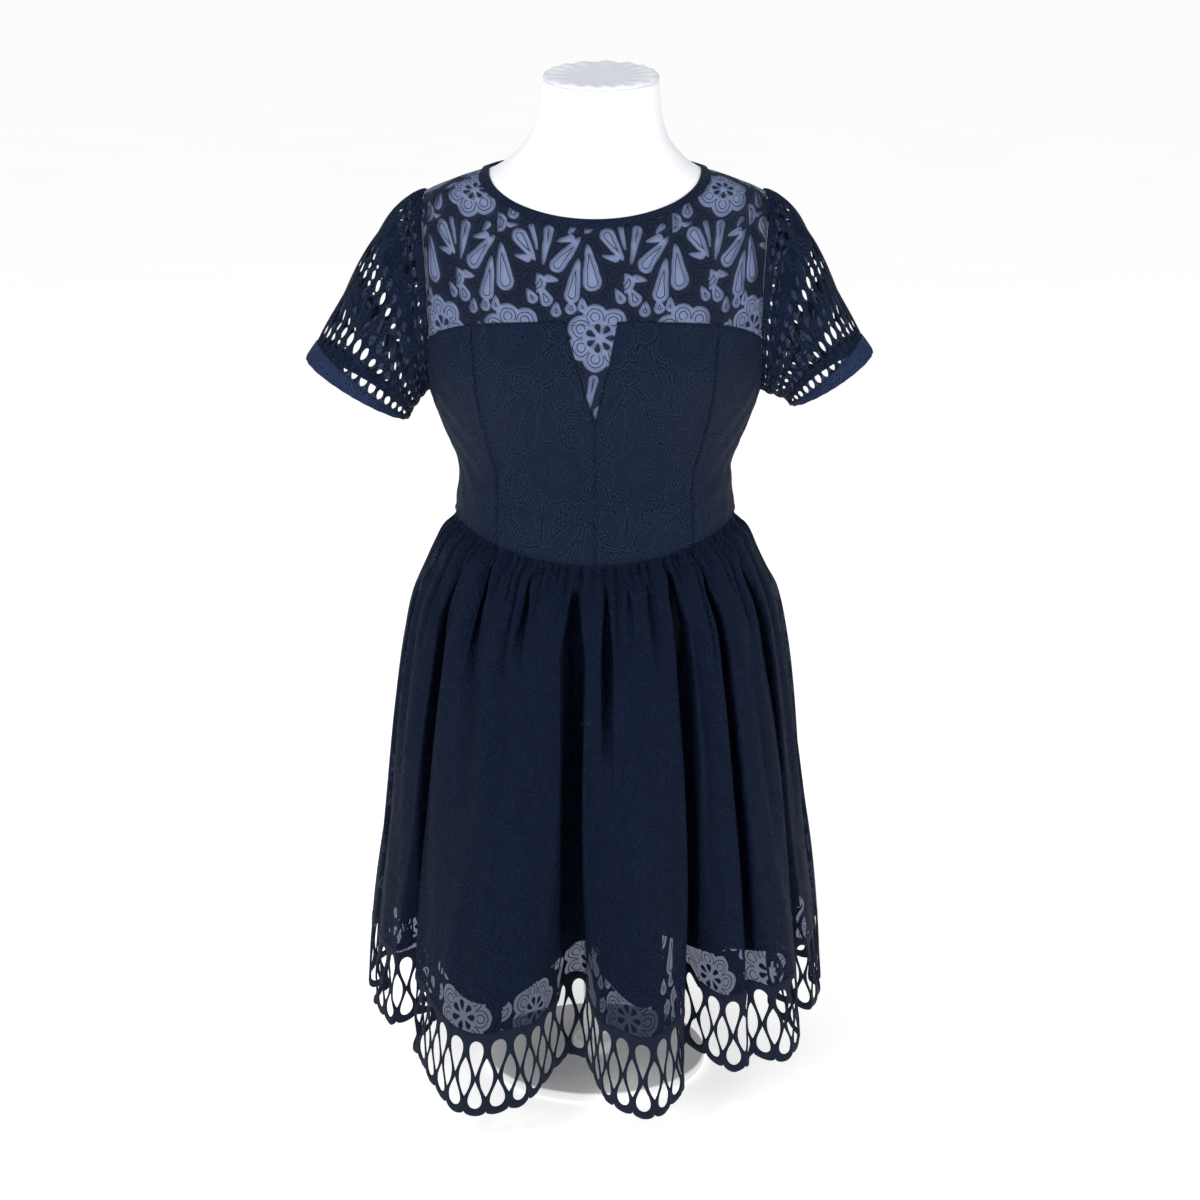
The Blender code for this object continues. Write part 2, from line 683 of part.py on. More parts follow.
def skirt_place(share, down, out):
    # The step is as long as a bar of the border is wide, which keeps the wall whole on sharp crests.
    return raised(skirt_surface, share, down, -out, 0.004, 0.004)


COLUMN_LENGTH = 0.535  # from the waist to the scallops
BORDER_SHARE = 1 - BORDER_HEIGHT / COLUMN_LENGTH
SIDE_GAP = SEAM / 2 / 0.40  # half a side seam's gap, as a share of half the waist

# One half of a repeat of the border: a share of its width, and millimetres below the border's top.
# The other half mirrors it about the middle, where the two bars of a pair touch.
SPINDLE_TOP, SPINDLE_SIDE, SPINDLE_FOOT = (0.0, 25.0), (0.20, 45.0), (0.0, 64.0)
VASE_TOP, VASE_SIDE, VASE_END = (0.36, 9.0), (0.23, 19.0), (0.5, 43.0)
FOOT_TOP, FOOT_SIDE, FOOT_END = (0.5, 48.0), (0.25, 67.0), (0.36, 74.0)
SCALLOP_NOTCH, SCALLOP_TIP = (0.0, 79.5), (0.5, 84.0)


def make_border(name, first, last, count):
    """Half of the openwork border, from one side seam to the other."""
    sheet = Sheet()
    made = {}

    def corner(cell, spot, mirror=False):
        share, fall = spot
        across = cell + (1 - share if mirror else share)
        key = (round(across, 4), fall)
        if key not in made:
            down = BORDER_SHARE + (fall * 0.001 + BORDER_GAP) / COLUMN_LENGTH
            made[key] = sheet.row([(mix(first, last, across / count), min(down, 1.0))])[0]
        return made[key]

    for cell in range(count):

        def both(spot):
            return corner(cell, spot), corner(cell, spot, True)

        top, top_2 = both((0.0, 0.0))
        spindle, spindle_2 = both(SPINDLE_TOP)
        side, side_2 = both(SPINDLE_SIDE)
        foot, foot_2 = both(SPINDLE_FOOT)
        vase, vase_2 = both(VASE_TOP)
        vase_side, vase_side_2 = both(VASE_SIDE)
        low_side, low_side_2 = both(FOOT_SIDE)
        low_end, low_end_2 = both(FOOT_END)
        notch, notch_2 = both(SCALLOP_NOTCH)
        neck, low_neck, tip = corner(cell, VASE_END), corner(cell, FOOT_TOP), corner(cell, SCALLOP_TIP)
        sheet.faces += [
            (vase, vase_2, top_2, top),
            (vase_side, vase, top),
            (spindle, vase_side, top),
            (vase_2, vase_side_2, top_2),
            (vase_side_2, spindle_2, top_2),
            (side, neck, vase_side, spindle),
            (neck, side_2, spindle_2, vase_side_2),
            (side, low_neck, neck),
            (low_neck, side_2, neck),
            (foot, low_side, low_neck, side),
            (low_side_2, foot_2, side_2, low_neck),
            (notch, low_end, low_side, foot),
            (low_end_2, notch_2, foot_2, low_side_2),
            (notch, tip, low_end),
            (tip, notch_2, low_end_2),
            (tip, low_end_2, low_end),
        ]
    sheet.solid(name, skirt_place, CORD_CLOTH, "cord")


def make_skirt():
    for half, start, repeats, columns in (
        ("front", 0, FRONT_REPEATS, GATHER_COLUMNS),
        ("back", 1, BACK_REPEATS, BACK_REPEATS),
    ):
        first, last = start + SIDE_GAP, start + 1 - SIDE_GAP

        def at(count, down):
            return [(mix(first, last, s), down) for s in shares(count)]

        sheet = Sheet()
        rows = [sheet.row(at(GATHER_COLUMNS, down)) for down in GATHERED_ROWS]
        border_top = BORDER_SHARE - SEAM / 2 / COLUMN_LENGTH
        rows += [sheet.row(at(columns, down)) for down in SKIRT_ROWS]
        rows.append(sheet.row(at(repeats, border_top)))
        for upper, lower in zip(rows, rows[1:]):
            sheet.join(lower, upper)
        sheet.solid(f"skirt_{half}", skirt_place, CLOTH, "embroidery")
        make_border(f"hem_border_{half}", first, last, repeats)


def make_lining():
    """The skirt's plain lining: fuller folds inside the lace, from the waist seam to its own hem."""

    def surface(turn, down):
        wider = 0.014 * eased(down, 0.005, 0.04) + 0.018 * eased(down, 0.05, 0.20)
        inset = mix(LINING_INSET_TOP * eased(down, 0.0, 0.04), LINING_INSET, eased(down, 0.1, 0.5))
        return skirt_ring(turn, down, wider, inset)

    def place(turn, down, out):
        return raised(surface, turn, down, -out, 0.012, 0.004)

    ring = [2 * math.pi * k / LINING_COLUMNS for k in range(LINING_COLUMNS)]
    sheet = Sheet()
    rows = [sheet.row([(turn, down) for turn in ring]) for down in (*LINING_ROWS, LINING_END)]
    for upper, lower in zip(rows, rows[1:]):
        sheet.join(lower + lower[:1], upper + upper[:1])
    sheet.solid("skirt_lining", place, LINING, "lining", -LINING - SEAM)


# ---------------------------------------------------------------- dress form


def stacked(name, rings, look):
    """A closed solid from rings of points, each anticlockwise from above, with the lowest ring first."""
    sides = len(rings[0])
    points = [point for ring in rings for point in ring]
    faces = []
    for r in range(len(rings) - 1):
        for k in range(sides):
            a, b = r * sides + k, r * sides + (k + 1) % sides
            faces.append((a, b, b + sides, a + sides))
    faces.append(tuple(reversed(range(sides))))
    faces.append(tuple(range(len(points) - sides, len(points))))
    add_object(name, points, faces, look)


def turned(name, profile, look, sides):
    """A solid of revolution about Z, from (radius, height) pairs that run up its outer side."""
    angles = [2 * math.pi * k / sides for k in range(sides)]
    rings = []
    for radius, height in profile:
        rings.append([(radius * math.cos(a), radius * math.sin(a), height) for a in angles])
    stacked(name, rings, look)


def make_form():
    turns = [2 * math.pi * k / FORM_SIDES for k in range(FORM_SIDES)]
    heights = [TORSO_BOTTOM + 0.006, 0.440, 0.51, 0.57, 0.615, 0.652, 0.695, 0.735, 0.77, 0.82]
    heights += [0.87, 0.905, 0.921, 0.932, 0.939, 0.946, 0.953, 0.961, 0.972, 0.988, 1.008]

    def ring(height, out, tilt=0.0):
        places = [body_place(turn, height, out) for turn in turns]
        return [(place.x, place.y, place.z + tilt * place.y) for place in places]

    def inside_cloth(height, tilt=0.0):
        return ring(height, -along(EASES, height)[0], tilt)

    bottom = [(x, y, TORSO_BOTTOM) for x, y, _ in ring(TORSO_BOTTOM + 0.006, -0.008)]
    rings = [bottom, *(inside_cloth(height) for height in heights)]
    rings += [inside_cloth(1.030, NECK_TILT * 0.7), inside_cloth(NECK_TOP, NECK_TILT)]
    stacked("form_torso", rings, "form")

    # The cap closes the neck on the same tilted plane.
    neck = inside_cloth(NECK_TOP)
    levels = ((SEAM, 0.985), (CAP_THICKNESS * 0.5, 1.0), (CAP_THICKNESS, 0.93))
    rings = [
        [(x * shrink, y * shrink, z + rise + NECK_TILT * y * shrink) for x, y, z in neck]
        for rise, shrink in levels
    ]
    stacked("form_neck_cap", rings, "stand")

    top = TORSO_BOTTOM - SEAM
    foot = BASE_THICKNESS + SEAM
    pole = (
        (POLE_RADIUS * 1.9, foot),
        (POLE_RADIUS * 1.7, foot + 0.014),
        (POLE_RADIUS, foot + 0.020),
        (POLE_RADIUS, top - FLANGE_THICKNESS - 0.004),
        (FLANGE_RADIUS, top - FLANGE_THICKNESS),
        (FLANGE_RADIUS, top),
    )
    turned("form_pole", pole, "stand", 16)
    base = (
        (BASE_RADIUS, 0.0),
        (BASE_RADIUS, BASE_THICKNESS - BASE_EDGE),
        (BASE_RADIUS - BASE_EDGE, BASE_THICKNESS),
    )
    turned("form_base", base, "stand", 40)


def stand_on_origin():
    """Moves the whole part so that the origin is the bottom centre of its box."""
    meshes = [obj.data for obj in bpy.context.scene.objects]
    places = [vertex.co for mesh in meshes for vertex in mesh.vertices]
    low = Vector([min(place[axis] for place in places) for axis in range(3)])
    high = Vector([max(place[axis] for place in places) for axis in range(3)])
    middle = (low + high) / 2
    for mesh in meshes:
        mesh.transform(Matrix.Translation((-middle.x, -middle.y, -low.z)))


def main():
    for obj in list(bpy.data.objects):
        bpy.data.objects.remove(obj)
    make_form()
    make_bodice()
    make_yokes()
    make_binding()
    for sleeve in SLEEVES:
        make_sleeve(sleeve)
    make_lining()
    make_skirt()
    stand_on_origin()


main()
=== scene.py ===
"""A cocktail dress of embroidered organza on a white dress form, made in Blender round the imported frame.

Metres, +Z up, front towards -Y. A place on the body is a turn about the form's axis, 0 at the centre
front and pi / 2 at +X, and a height. A place on the skirt is a share of its cloth, 0 to 1 in front and
1 to 2 behind, and a share of the way down from the waist to the scallops.
"""

import math

import bmesh
import bpy
import numpy as np
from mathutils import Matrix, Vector
from mathutils.geometry import delaunay_2d_cdt


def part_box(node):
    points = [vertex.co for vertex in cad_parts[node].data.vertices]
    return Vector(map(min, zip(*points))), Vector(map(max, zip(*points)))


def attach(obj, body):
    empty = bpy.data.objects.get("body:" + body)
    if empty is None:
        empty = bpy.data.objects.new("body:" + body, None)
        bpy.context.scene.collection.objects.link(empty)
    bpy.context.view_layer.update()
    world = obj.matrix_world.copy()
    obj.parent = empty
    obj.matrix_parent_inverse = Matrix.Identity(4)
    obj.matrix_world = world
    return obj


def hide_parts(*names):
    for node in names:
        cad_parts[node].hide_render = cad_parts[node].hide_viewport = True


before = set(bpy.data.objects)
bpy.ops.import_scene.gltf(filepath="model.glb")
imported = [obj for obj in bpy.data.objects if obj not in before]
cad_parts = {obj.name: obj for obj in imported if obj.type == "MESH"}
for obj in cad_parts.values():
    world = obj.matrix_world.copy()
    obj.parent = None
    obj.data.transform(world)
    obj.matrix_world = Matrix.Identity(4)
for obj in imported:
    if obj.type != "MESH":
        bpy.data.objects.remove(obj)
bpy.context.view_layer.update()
BASE_LOW, BASE_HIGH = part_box("form_base")
AXIS = np.array([(BASE_LOW[0] + BASE_HIGH[0]) / 2, (BASE_LOW[1] + BASE_HIGH[1]) / 2, 0.0])

bl_info = {
    "name": "Cocktail dress",
    "version": (1, 0, 0),
    "blender": (4, 5, 0),
    "location": "View3D > Sidebar > Dress",
    "description": "Builds an embroidered organza dress on a dress form",
    "category": "Add Mesh",
}

# ---------------------------------------------------------------- the body and the cloth on it

PI = math.pi
CLOTH = 0.0012  # from the form's side of the cloth to its face
WAIST_FRONT, WAIST_SIDE, WAIST_BACK = 0.575, 0.607, 0.606
YOKE_FRONT, YOKE_BACK = 0.822, 0.815
POINT_HEIGHT, POINT_LEFT, POINT_RIGHT = 0.721, 0.029, 0.022
UNDERARM, SHOULDER_TIP, NECK_POINT = 0.737, 0.930, 0.955
NECK_FRONT, NECK_BACK = 0.915, 0.966
BINDING = 0.009
ARM_FRONT, ARM_BACK = 22.0, 19.0  # degrees that the armhole reaches round to the front and back
YOKE_ARM = 7 / 11  # share of half an armhole that lies above the yoke line
SLEEVE_LAP = 1.016  # a sleeve's top edge, as a share of the armhole's size

BODY = (  # height, half width, front depth, back depth, roundness
    (0.400, 0.150, 0.094, 0.104, 2.1),
    (0.440, 0.166, 0.104, 0.118, 2.1),
    (0.500, 0.165, 0.108, 0.117, 2.1),
    (0.560, 0.147, 0.109, 0.107, 2.1),
    (0.607, 0.1415, 0.112, 0.104, 2.1),
    (0.652, 0.1370, 0.106, 0.100, 2.1),
    (0.700, 0.153, 0.121, 0.104, 2.1),
    (0.737, 0.166, 0.132, 0.109, 2.15),
    (0.775, 0.172, 0.136, 0.113, 2.2),
    (0.822, 0.176, 0.130, 0.117, 2.2),
    (0.870, 0.1775, 0.115, 0.114, 2.15),
    (0.903, 0.176, 0.101, 0.105, 2.1),
    (0.918, 0.174, 0.094, 0.099, 2.05),
    (0.930, 0.168, 0.088, 0.093, 2.0),
    (0.944, 0.137, 0.082, 0.086, 2.0),
    (0.955, 0.1045, 0.078, 0.082, 2.0),
    (0.966, 0.088, 0.073, 0.076, 2.0),
    (0.985, 0.072, 0.066, 0.068, 2.0),
    (1.010, 0.0635, 0.060, 0.062, 2.0),
    (1.050, 0.0585, 0.055, 0.059, 2.0),
)
BUST_OFFSET, BUST_HEIGHT, BUST_SPREAD, BUST_RISE = 0.074, 0.768, 0.052, 0.012
PRINCESS = ((0.575, 0.098), (0.652, 0.096), (0.700, 0.106), (0.760, 0.116), (0.822, 0.120))
EASES = (  # height, and the form's gap inside the cloth there
    (0.400, 0.0120),
    (0.560, 0.0110),
    (0.590, 0.0085),
    (0.610, 0.0035),
    (0.895, 0.0030),
    (0.924, 0.0058),
    (0.940, 0.0030),
    (0.955, 0.0024),
    (1.050, 0.0024),
)
TORSO_BOTTOM, NECK_TOP, NECK_TILT, NECK_LEAN = 0.400, 1.042, 0.16, 0.006

HEM_SIDE, HEM_FRONT, HEM_BACK = 0.092, 0.053, 0.064
# As shares of a fold's depth: how far its hem rises, and how far its sides hang over its bottom.
FOLD_LIFT, FOLD_OVERHANG = 0.42, 0.10
FOLD_PINCH = 0.48  # how much of a fold's mouth is closed between the waist and the hem
FOLD_STARTS, FOLD_ENDS = 0.12, 0.14  # shares of the way down over which it deepens and fades
SKIRT_LENGTH, BORDER_HEIGHT = 0.535, 0.084
BORDER_SHARE = 1 - BORDER_HEIGHT / SKIRT_LENGTH
WAIST_GAP = 0.0006
ELLIPSE, ELLIPSE_BY = 2.0, 0.3  # the roundness of the skirt's section from this share of the way down
SKIRT_FLARE = (  # share down, then what is added to the half width, the front depth and the back depth
    (0.000, 0.0000, 0.0000, 0.0000),
    (0.008, 0.0003, 0.0003, 0.0003),
    (0.035, 0.0140, 0.0110, 0.0110),
    (0.072, 0.0240, 0.0200, 0.0200),
    (0.156, 0.0450, 0.0360, 0.0360),
    (0.213, 0.0520, 0.0440, 0.0430),
    (0.400, 0.0660, 0.0660, 0.0600),
    (0.600, 0.0775, 0.0840, 0.0740),
    (0.830, 0.0915, 0.1010, 0.0870),
    (1.000, 0.0990, 0.1120, 0.0960),
)
FOLDS = (  # turn, depth at the waist and hem, mouth at the waist and hem, start, end
    (-168, 0.010, 0.020, 0.016, 0.024, 0.03, 1.0),
    (-140, 0.010, 0.024, 0.016, 0.026, 0.03, 1.0),
    (-113, 0.010, 0.022, 0.016, 0.024, 0.03, 1.0),
    (-78, 0.006, 0.018, 0.014, 0.022, 0.10, 1.0),
    (-55, 0.010, 0.044, 0.014, 0.026, 0.04, 1.0),
    (-40, 0.013, 0.000, 0.012, 0.012, 0.03, 0.30),
    (-23, 0.012, 0.000, 0.012, 0.012, 0.03, 0.24),
    (-6.5, 0.021, 0.056, 0.014, 0.044, 0.03, 1.0),
    (3.5, 0.010, 0.000, 0.012, 0.012, 0.06, 0.42),
    (11, 0.009, 0.000, 0.011, 0.010, 0.03, 0.18),
    (18, 0.010, 0.000, 0.011, 0.010, 0.03, 0.20),
    (27.5, 0.020, 0.046, 0.013, 0.032, 0.03, 1.0),
    (42, 0.016, 0.014, 0.013, 0.018, 0.03, 1.0),
    (63, 0.010, 0.040, 0.015, 0.028, 0.06, 1.0),
    (84, 0.006, 0.014, 0.014, 0.018, 0.10, 1.0),
    (108, 0.010, 0.022, 0.016, 0.024, 0.03, 1.0),
    (133, 0.010, 0.024, 0.016, 0.026, 0.03, 1.0),
    (160, 0.010, 0.022, 0.016, 0.024, 0.03, 1.0),
)
RIDGES = (  # turn, rise, spread, drop
    (-29, 0.032, 13, 0.024),
    (11.5, 0.034, 7, 0.009),
    (49, 0.018, 9, 0.007),
    (-126, 0.008, 10, 0.003),
    (147, 0.008, 10, 0.003),
    (178, 0.008, 8, 0.003),
)
FRONT_REPEATS, BACK_REPEATS = 48, 36
SLEEVES = (  # name, side, outer and inner ends of the cuff, half its depth
    ("left", -1, (-0.2900, -0.006, 0.7640), (-0.1920, 0.008, 0.702), 0.054),
    ("right", 1, (0.2780, -0.014, 0.772), (0.2010, 0.018, 0.714), 0.053),
)
CUFF_START = 0.895


def mix(a, b, share):
    return a + (b - a) * share


def eased(value, low, high):
    share = np.clip((np.asarray(value, float) - low) / (high - low), 0, 1)
    return share * share * (3 - 2 * share)


def bell(value, width):
    return np.exp(-((value / width) ** 2))


def along(rows, key):
    """The table's other columns at a key, on a smooth curve through its rows that never overshoots."""
    table = np.array(rows, float)
    x, y = table[:, 0], table[:, 1:]
    key = np.clip(np.asarray(key, float), x[0], x[-1])
    step = np.diff(y, axis=0) / np.diff(x)[:, None]
    before, after = np.vstack([step[:1], step]), np.vstack([step, step[-1:]])
    both = before * after
    slope = np.where(both > 0, 2 * both / np.where(both > 0, before + after, 1), 0)
    i = np.clip(np.searchsorted(x, key) - 1, 0, len(x) - 2)
    span = (x[i + 1] - x[i])[..., None]
    t = ((key - x[i])[..., None]) / span
    values = y[i] * (2 * t**3 - 3 * t**2 + 1) + slope[i] * span * (t**3 - 2 * t**2 + t)
    values += y[i + 1] * (3 * t**2 - 2 * t**3) + slope[i + 1] * span * (t**3 - t**2)
    return np.moveaxis(values, -1, 0)


def power(value, exponent):
    return np.sign(value) * np.abs(value) ** exponent


def stacked(*columns):
    return np.stack(np.broadcast_arrays(*columns), axis=-1)


def unit(vectors):
    return vectors / np.maximum(np.linalg.norm(vectors, axis=-1, keepdims=True), 1e-12)


def raised(surface, a, b, out, step_a=1e-4, step_b=1e-4):
    """The points of surface(a, b) moved out along its normal, which is d/da crossed with d/db."""
    across = surface(a + step_a, b) - surface(a - step_a, b)
    up = surface(a, b + step_b) - surface(a, b - step_b)
    return surface(a, b) + unit(np.cross(across, up)) * np.asarray(out, float)[..., None]


def body_surface(turn, height):
    """The inside of the cloth."""
    turn, height = np.broadcast_arrays(np.asarray(turn, float), np.asarray(height, float))
    half_width, front, back, exponent = along(BODY, height)
    side, ahead = np.sin(turn), np.cos(turn)
    x = half_width * power(side, 2 / exponent)
    y = -np.where(ahead > 0, front, back) * power(ahead, 2 / exponent)
    off, up = (np.abs(x) - BUST_OFFSET) / BUST_SPREAD, (height - BUST_HEIGHT) / BUST_SPREAD
    rise = BUST_RISE * np.exp(-off * off - up * up) * np.minimum(1, 2 * np.maximum(ahead, 0))
    return stacked(x, y - rise, height)


def body_place(turn, height, out):
    return raised(body_surface, turn, height, out)


def turn_of(x, height):
    """The turn, in front, of a point that lies x to the side."""
    half_width, _, _, exponent = along(BODY, height)
    return np.arcsin(np.clip(power(x / half_width, exponent / 2), -1, 1))


def waist_line(turn):
    ahead = np.cos(turn)
    return mix(WAIST_SIDE, np.where(ahead > 0, WAIST_FRONT, WAIST_BACK), ahead**2)


def armhole(share, back=False, inset=1.0):
    """(turn, height) at a share of the way down half an armhole, on the +X side."""
    angle = PI * np.asarray(share, float)
    middle, half = (SHOULDER_TIP + UNDERARM) / 2, (SHOULDER_TIP - UNDERARM) / 2
    reach = np.where(back, ARM_BACK, -ARM_FRONT)
    return np.radians(90 + reach * np.sin(angle) * inset), middle + half * np.cos(angle) * inset


YOKE_SIDE = float(armhole(YOKE_ARM)[1])


def yoke_line(turn):
    """Level in the middle, falling to the armhole's corners."""
    ahead = np.cos(turn) > 0
    off = np.abs(np.remainder(np.where(ahead, turn, turn - PI) + PI, 2 * PI) - PI)
    reach = np.where(ahead, armhole(YOKE_ARM)[0], PI - armhole(YOKE_ARM, True)[0])
    fall = np.minimum(1, off / reach) ** 2.6
    return mix(np.where(ahead, YOKE_FRONT, YOKE_BACK), YOKE_SIDE, fall)


def neckline(angle, drop):
    """(turn, height) of the neckline at an angle from the centre front, drop metres below its edge."""
    angle = np.asarray(angle, float)
    ahead = np.cos(angle)
    front = ahead >= 0
    forward = np.maximum(ahead, 0)
    height = np.where(
        front,
        mix(NECK_POINT, NECK_FRONT, forward**1.15),
        mix(NECK_POINT, NECK_BACK, ahead**2),
    )
    turn = np.where(front, turn_of(along(BODY, NECK_POINT)[0] * np.sin(angle), height), angle)
    ease = np.where(front, mix(0.30, 0.92, forward), mix(0.30, 0.75, ahead**2))
    return turn, height - drop * ease


def princess(height):
    return turn_of(along(PRINCESS, height)[0], height)


def cloth_on_body(turn, height):
    """Metres across and up the cloth from the middle of the yoke line, for a pattern that lies flat."""
    steps = (np.arange(33) / 32).reshape(-1, *([1] * np.ndim(turn)))
    round_it = body_surface(steps * turn, height)
    across = np.linalg.norm(np.diff(round_it, axis=0), axis=-1).sum(0) * np.sign(turn)
    up_it = body_surface(turn, mix(YOKE_FRONT, height, steps))
    up = np.linalg.norm(np.diff(up_it, axis=0), axis=-1).sum(0) * np.sign(height - YOKE_FRONT)
    return stacked(across, up, 0.0)


# ---------------------------------------------------------------- the skirt's surface

RANDOM = np.random.default_rng(11)


def scattered(count, waver, **ranges):
    """Turns spread round the skirt, and a random value for each from every range."""
    turns = np.linspace(-180, 180, count, endpoint=False) + RANDOM.uniform(-waver, waver, count)
    return list(zip(turns, *(RANDOM.uniform(low, high, count) for low, high in ranges.values())))


SHORT_GATHERS = scattered(
    84, 1.4, depth=(0.005, 0.012), half=(0.0026, 0.0046), end=(0.030, 0.095), lean=(-0.003, 0.003)
)
LONG_GATHERS = scattered(
    40, 3.2, depth=(0.007, 0.014), half=(0.0028, 0.0048), end=(0.10, 0.30), lean=(-0.006, 0.006)
)
SOFT_FOLDS = scattered(
    46, 3.0, depth=(0.0015, 0.0065), half=(0.005, 0.011), start=(0.00, 0.12), end=(0.50, 1.10)
)


def turn_between(turn, degrees):
    return np.remainder(turn - math.radians(degrees) + PI, 2 * PI) - PI


def hem_height(turn):
    ahead = np.cos(turn)
    return mix(HEM_SIDE, np.where(ahead > 0, HEM_FRONT, HEM_BACK), ahead**2)


def skirt_ring(turn, down, wider=0.0, inset=0.0):
    """A point of the skirt at a turn and a share of the way down. A lining has wider, deeper folds."""
    turn, down = np.broadcast_arrays(np.asarray(turn, float), np.asarray(down, float))
    side, front, back = along(SKIRT_FLARE, down)
    half_width, body_front, body_back, exponent = along(BODY, waist_line(turn))
    exponent = mix(exponent, ELLIPSE, eased(down, 0.0, ELLIPSE_BY))
    ahead, aside = np.cos(turn), np.sin(turn)
    depth = np.where(ahead > 0, body_front + front, body_back + back)
    x = (half_width + side) * power(aside, 2 / exponent)
    y = -depth * power(ahead, 2 / exponent)
    radius = np.hypot(x, y)
    lower = eased(down, 0.1, 1.0)
    pinch = 1 - FOLD_PINCH * eased(down, 0.0, 0.12) * (1 - eased(down, 0.55, 1.0))
    slip, sunk = np.zeros_like(radius), np.zeros_like(radius)
    risen, dropped = np.zeros_like(radius), np.zeros_like(radius)
    for at, rise, spread, drop in RIDGES:
        near = bell(turn_between(turn, at), math.radians(spread))
        risen += rise * lower * near
        dropped += drop * near
    for at, depth_top, depth_hem, mouth_top, mouth_hem, start, end in FOLDS:
        deep = mix(depth_top, depth_hem, down) * eased(down, start, start + FOLD_STARTS)
        if end < 1.0:
            deep = deep * (1 - eased(down, end - FOLD_ENDS, end))
        off = turn_between(turn, at) * radius / (mix(mouth_top, mouth_hem, lower) * pinch + wider)
        inside = (np.abs(off) < 1) & (deep > 0)
        near = np.where(inside, (1 + np.cos(PI * off)) / 2, 0)
        sunk = np.maximum(sunk, (deep + np.asarray(wider) * 0.25) * near)
        slip += np.where(np.asarray(wider) == 0, FOLD_OVERHANG * deep * np.sin(PI * off) * near, 0)
    scale = (radius + risen - sunk - inset) / radius
    lift = (FOLD_LIFT * sunk - dropped) * eased(down, 0.3, 1.0)
    height = mix(waist_line(turn) - WAIST_GAP, hem_height(turn), down) + lift
    return stacked(x * scale - y / radius * slip, y * scale + x / radius * slip, height)


def hem_lengths(first, last):
    turns = np.linspace(first, last, 721)
    points = skirt_ring(turns, 1.0)
    steps = np.linalg.norm(np.diff(points, axis=0), axis=1)
    return np.concatenate([[0], np.cumsum(steps)]), turns


HEM_HALVES = (hem_lengths(-PI / 2, PI / 2), hem_lengths(PI / 2, 1.5 * PI))
HALF_HEMS = [float(lengths[-1]) for lengths, _ in HEM_HALVES]


def cloth_turn(share, down):
    """The turn of a share of the cloth: even by turn at the waist, and by length from the hips down."""
    share, down = np.broadcast_arrays(np.asarray(share, float), np.asarray(down, float))
    at_hem = np.where(
        share < 1,
        np.interp(share * HALF_HEMS[0], *HEM_HALVES[0]),
        np.interp((share - 1) * HALF_HEMS[1], *HEM_HALVES[1]),
    )
    return mix(PI * (share - 0.5), at_hem, eased(down, 0.0, 0.22))


SLITS = (  # turn of a fold, the depth and half width of the slit at its bottom, where it starts and ends
    (-55, 0.026, 0.0075, 0.05, 0.95),
    (-40, 0.020, 0.0050, 0.01, 0.26),
    (-30, 0.014, 0.0030, 0.01, 0.12),
    (-23, 0.018, 0.0045, 0.01, 0.20),
    (-6.5, 0.034, 0.0095, 0.03, 1.02),
    (3.5, 0.018, 0.0050, 0.03, 0.38),
    (11, 0.014, 0.0035, 0.01, 0.14),
    (18, 0.014, 0.0040, 0.01, 0.18),
    (27.5, 0.032, 0.0075, 0.01, 1.02),
    (42, 0.028, 0.0060, 0.01, 0.85),
    (52, 0.014, 0.0030, 0.01, 0.12),
    (63, 0.026, 0.0075, 0.04, 0.95),
    (-140, 0.022, 0.0070, 0.05, 0.90),
    (-168, 0.018, 0.0070, 0.05, 0.85),
    (133, 0.022, 0.0070, 0.05, 0.90),
    (160, 0.018, 0.0070, 0.05, 0.85),
)
# Shares of the way down over which a slit deepens, widens and fades.
SLIT_STARTS, SLIT_WIDENS, SLIT_ENDS = 0.06, 0.16, 0.2
UNDERCUT = 0.005  # how far a slit runs on behind each side of its mouth
LEAN = 0.8  # how far the front slits lean from the radius towards straight back


def slits(turn, radius, down, wider=0.0):
    """How far the narrow bottoms of the main folds are sunk, and how far their cloth slips aside.

    A lining has wider slits, with room for the skirt's to lean in.
    """
    sunk, slip = np.zeros_like(radius), np.zeros_like(radius)
    for at, depth, half, start, end in SLITS:
        there = eased(down, start, start + SLIT_STARTS) * (1 - eased(down, end - SLIT_ENDS, end))
        lean = LEAN * depth * math.tan(math.radians(max(-45, min(at, 45)))) if abs(at) < 90 else 0.0
        room = wider + abs(lean) / 2 if wider else 0.0
        off = turn_between(turn, at) * radius - (lean / 2 if wider else 0.0)
        half = half * mix(0.3, 1.0, eased(down, start, start + SLIT_WIDENS))
        near = there * (1 - eased(np.abs(off), 0.75 * half + room, 1.15 * half + room))
        sunk = np.maximum(sunk, depth * near)
        slip += near * (lean + UNDERCUT * np.clip(off / half, -1, 1))
    return sunk, slip


def form_radius(turn, height):
    """The form's radius, carried on straight down below its bottom."""
    height = np.maximum(height, TORSO_BOTTOM)
    body = body_surface(turn, height)
    return np.hypot(body[..., 0], body[..., 1]) - along(EASES, height)[0]


LINING_WIDER = (0.014, 0.018)  # what its folds gain below the waist, and again over the hips
LINING_INSET = (0.016, 0.012)  # how far it lies inside the skirt at the waist and at the hem
SLIT_ROOM = 0.008  # beside each of the skirt's slits
FORM_CLEARANCE = 0.0025


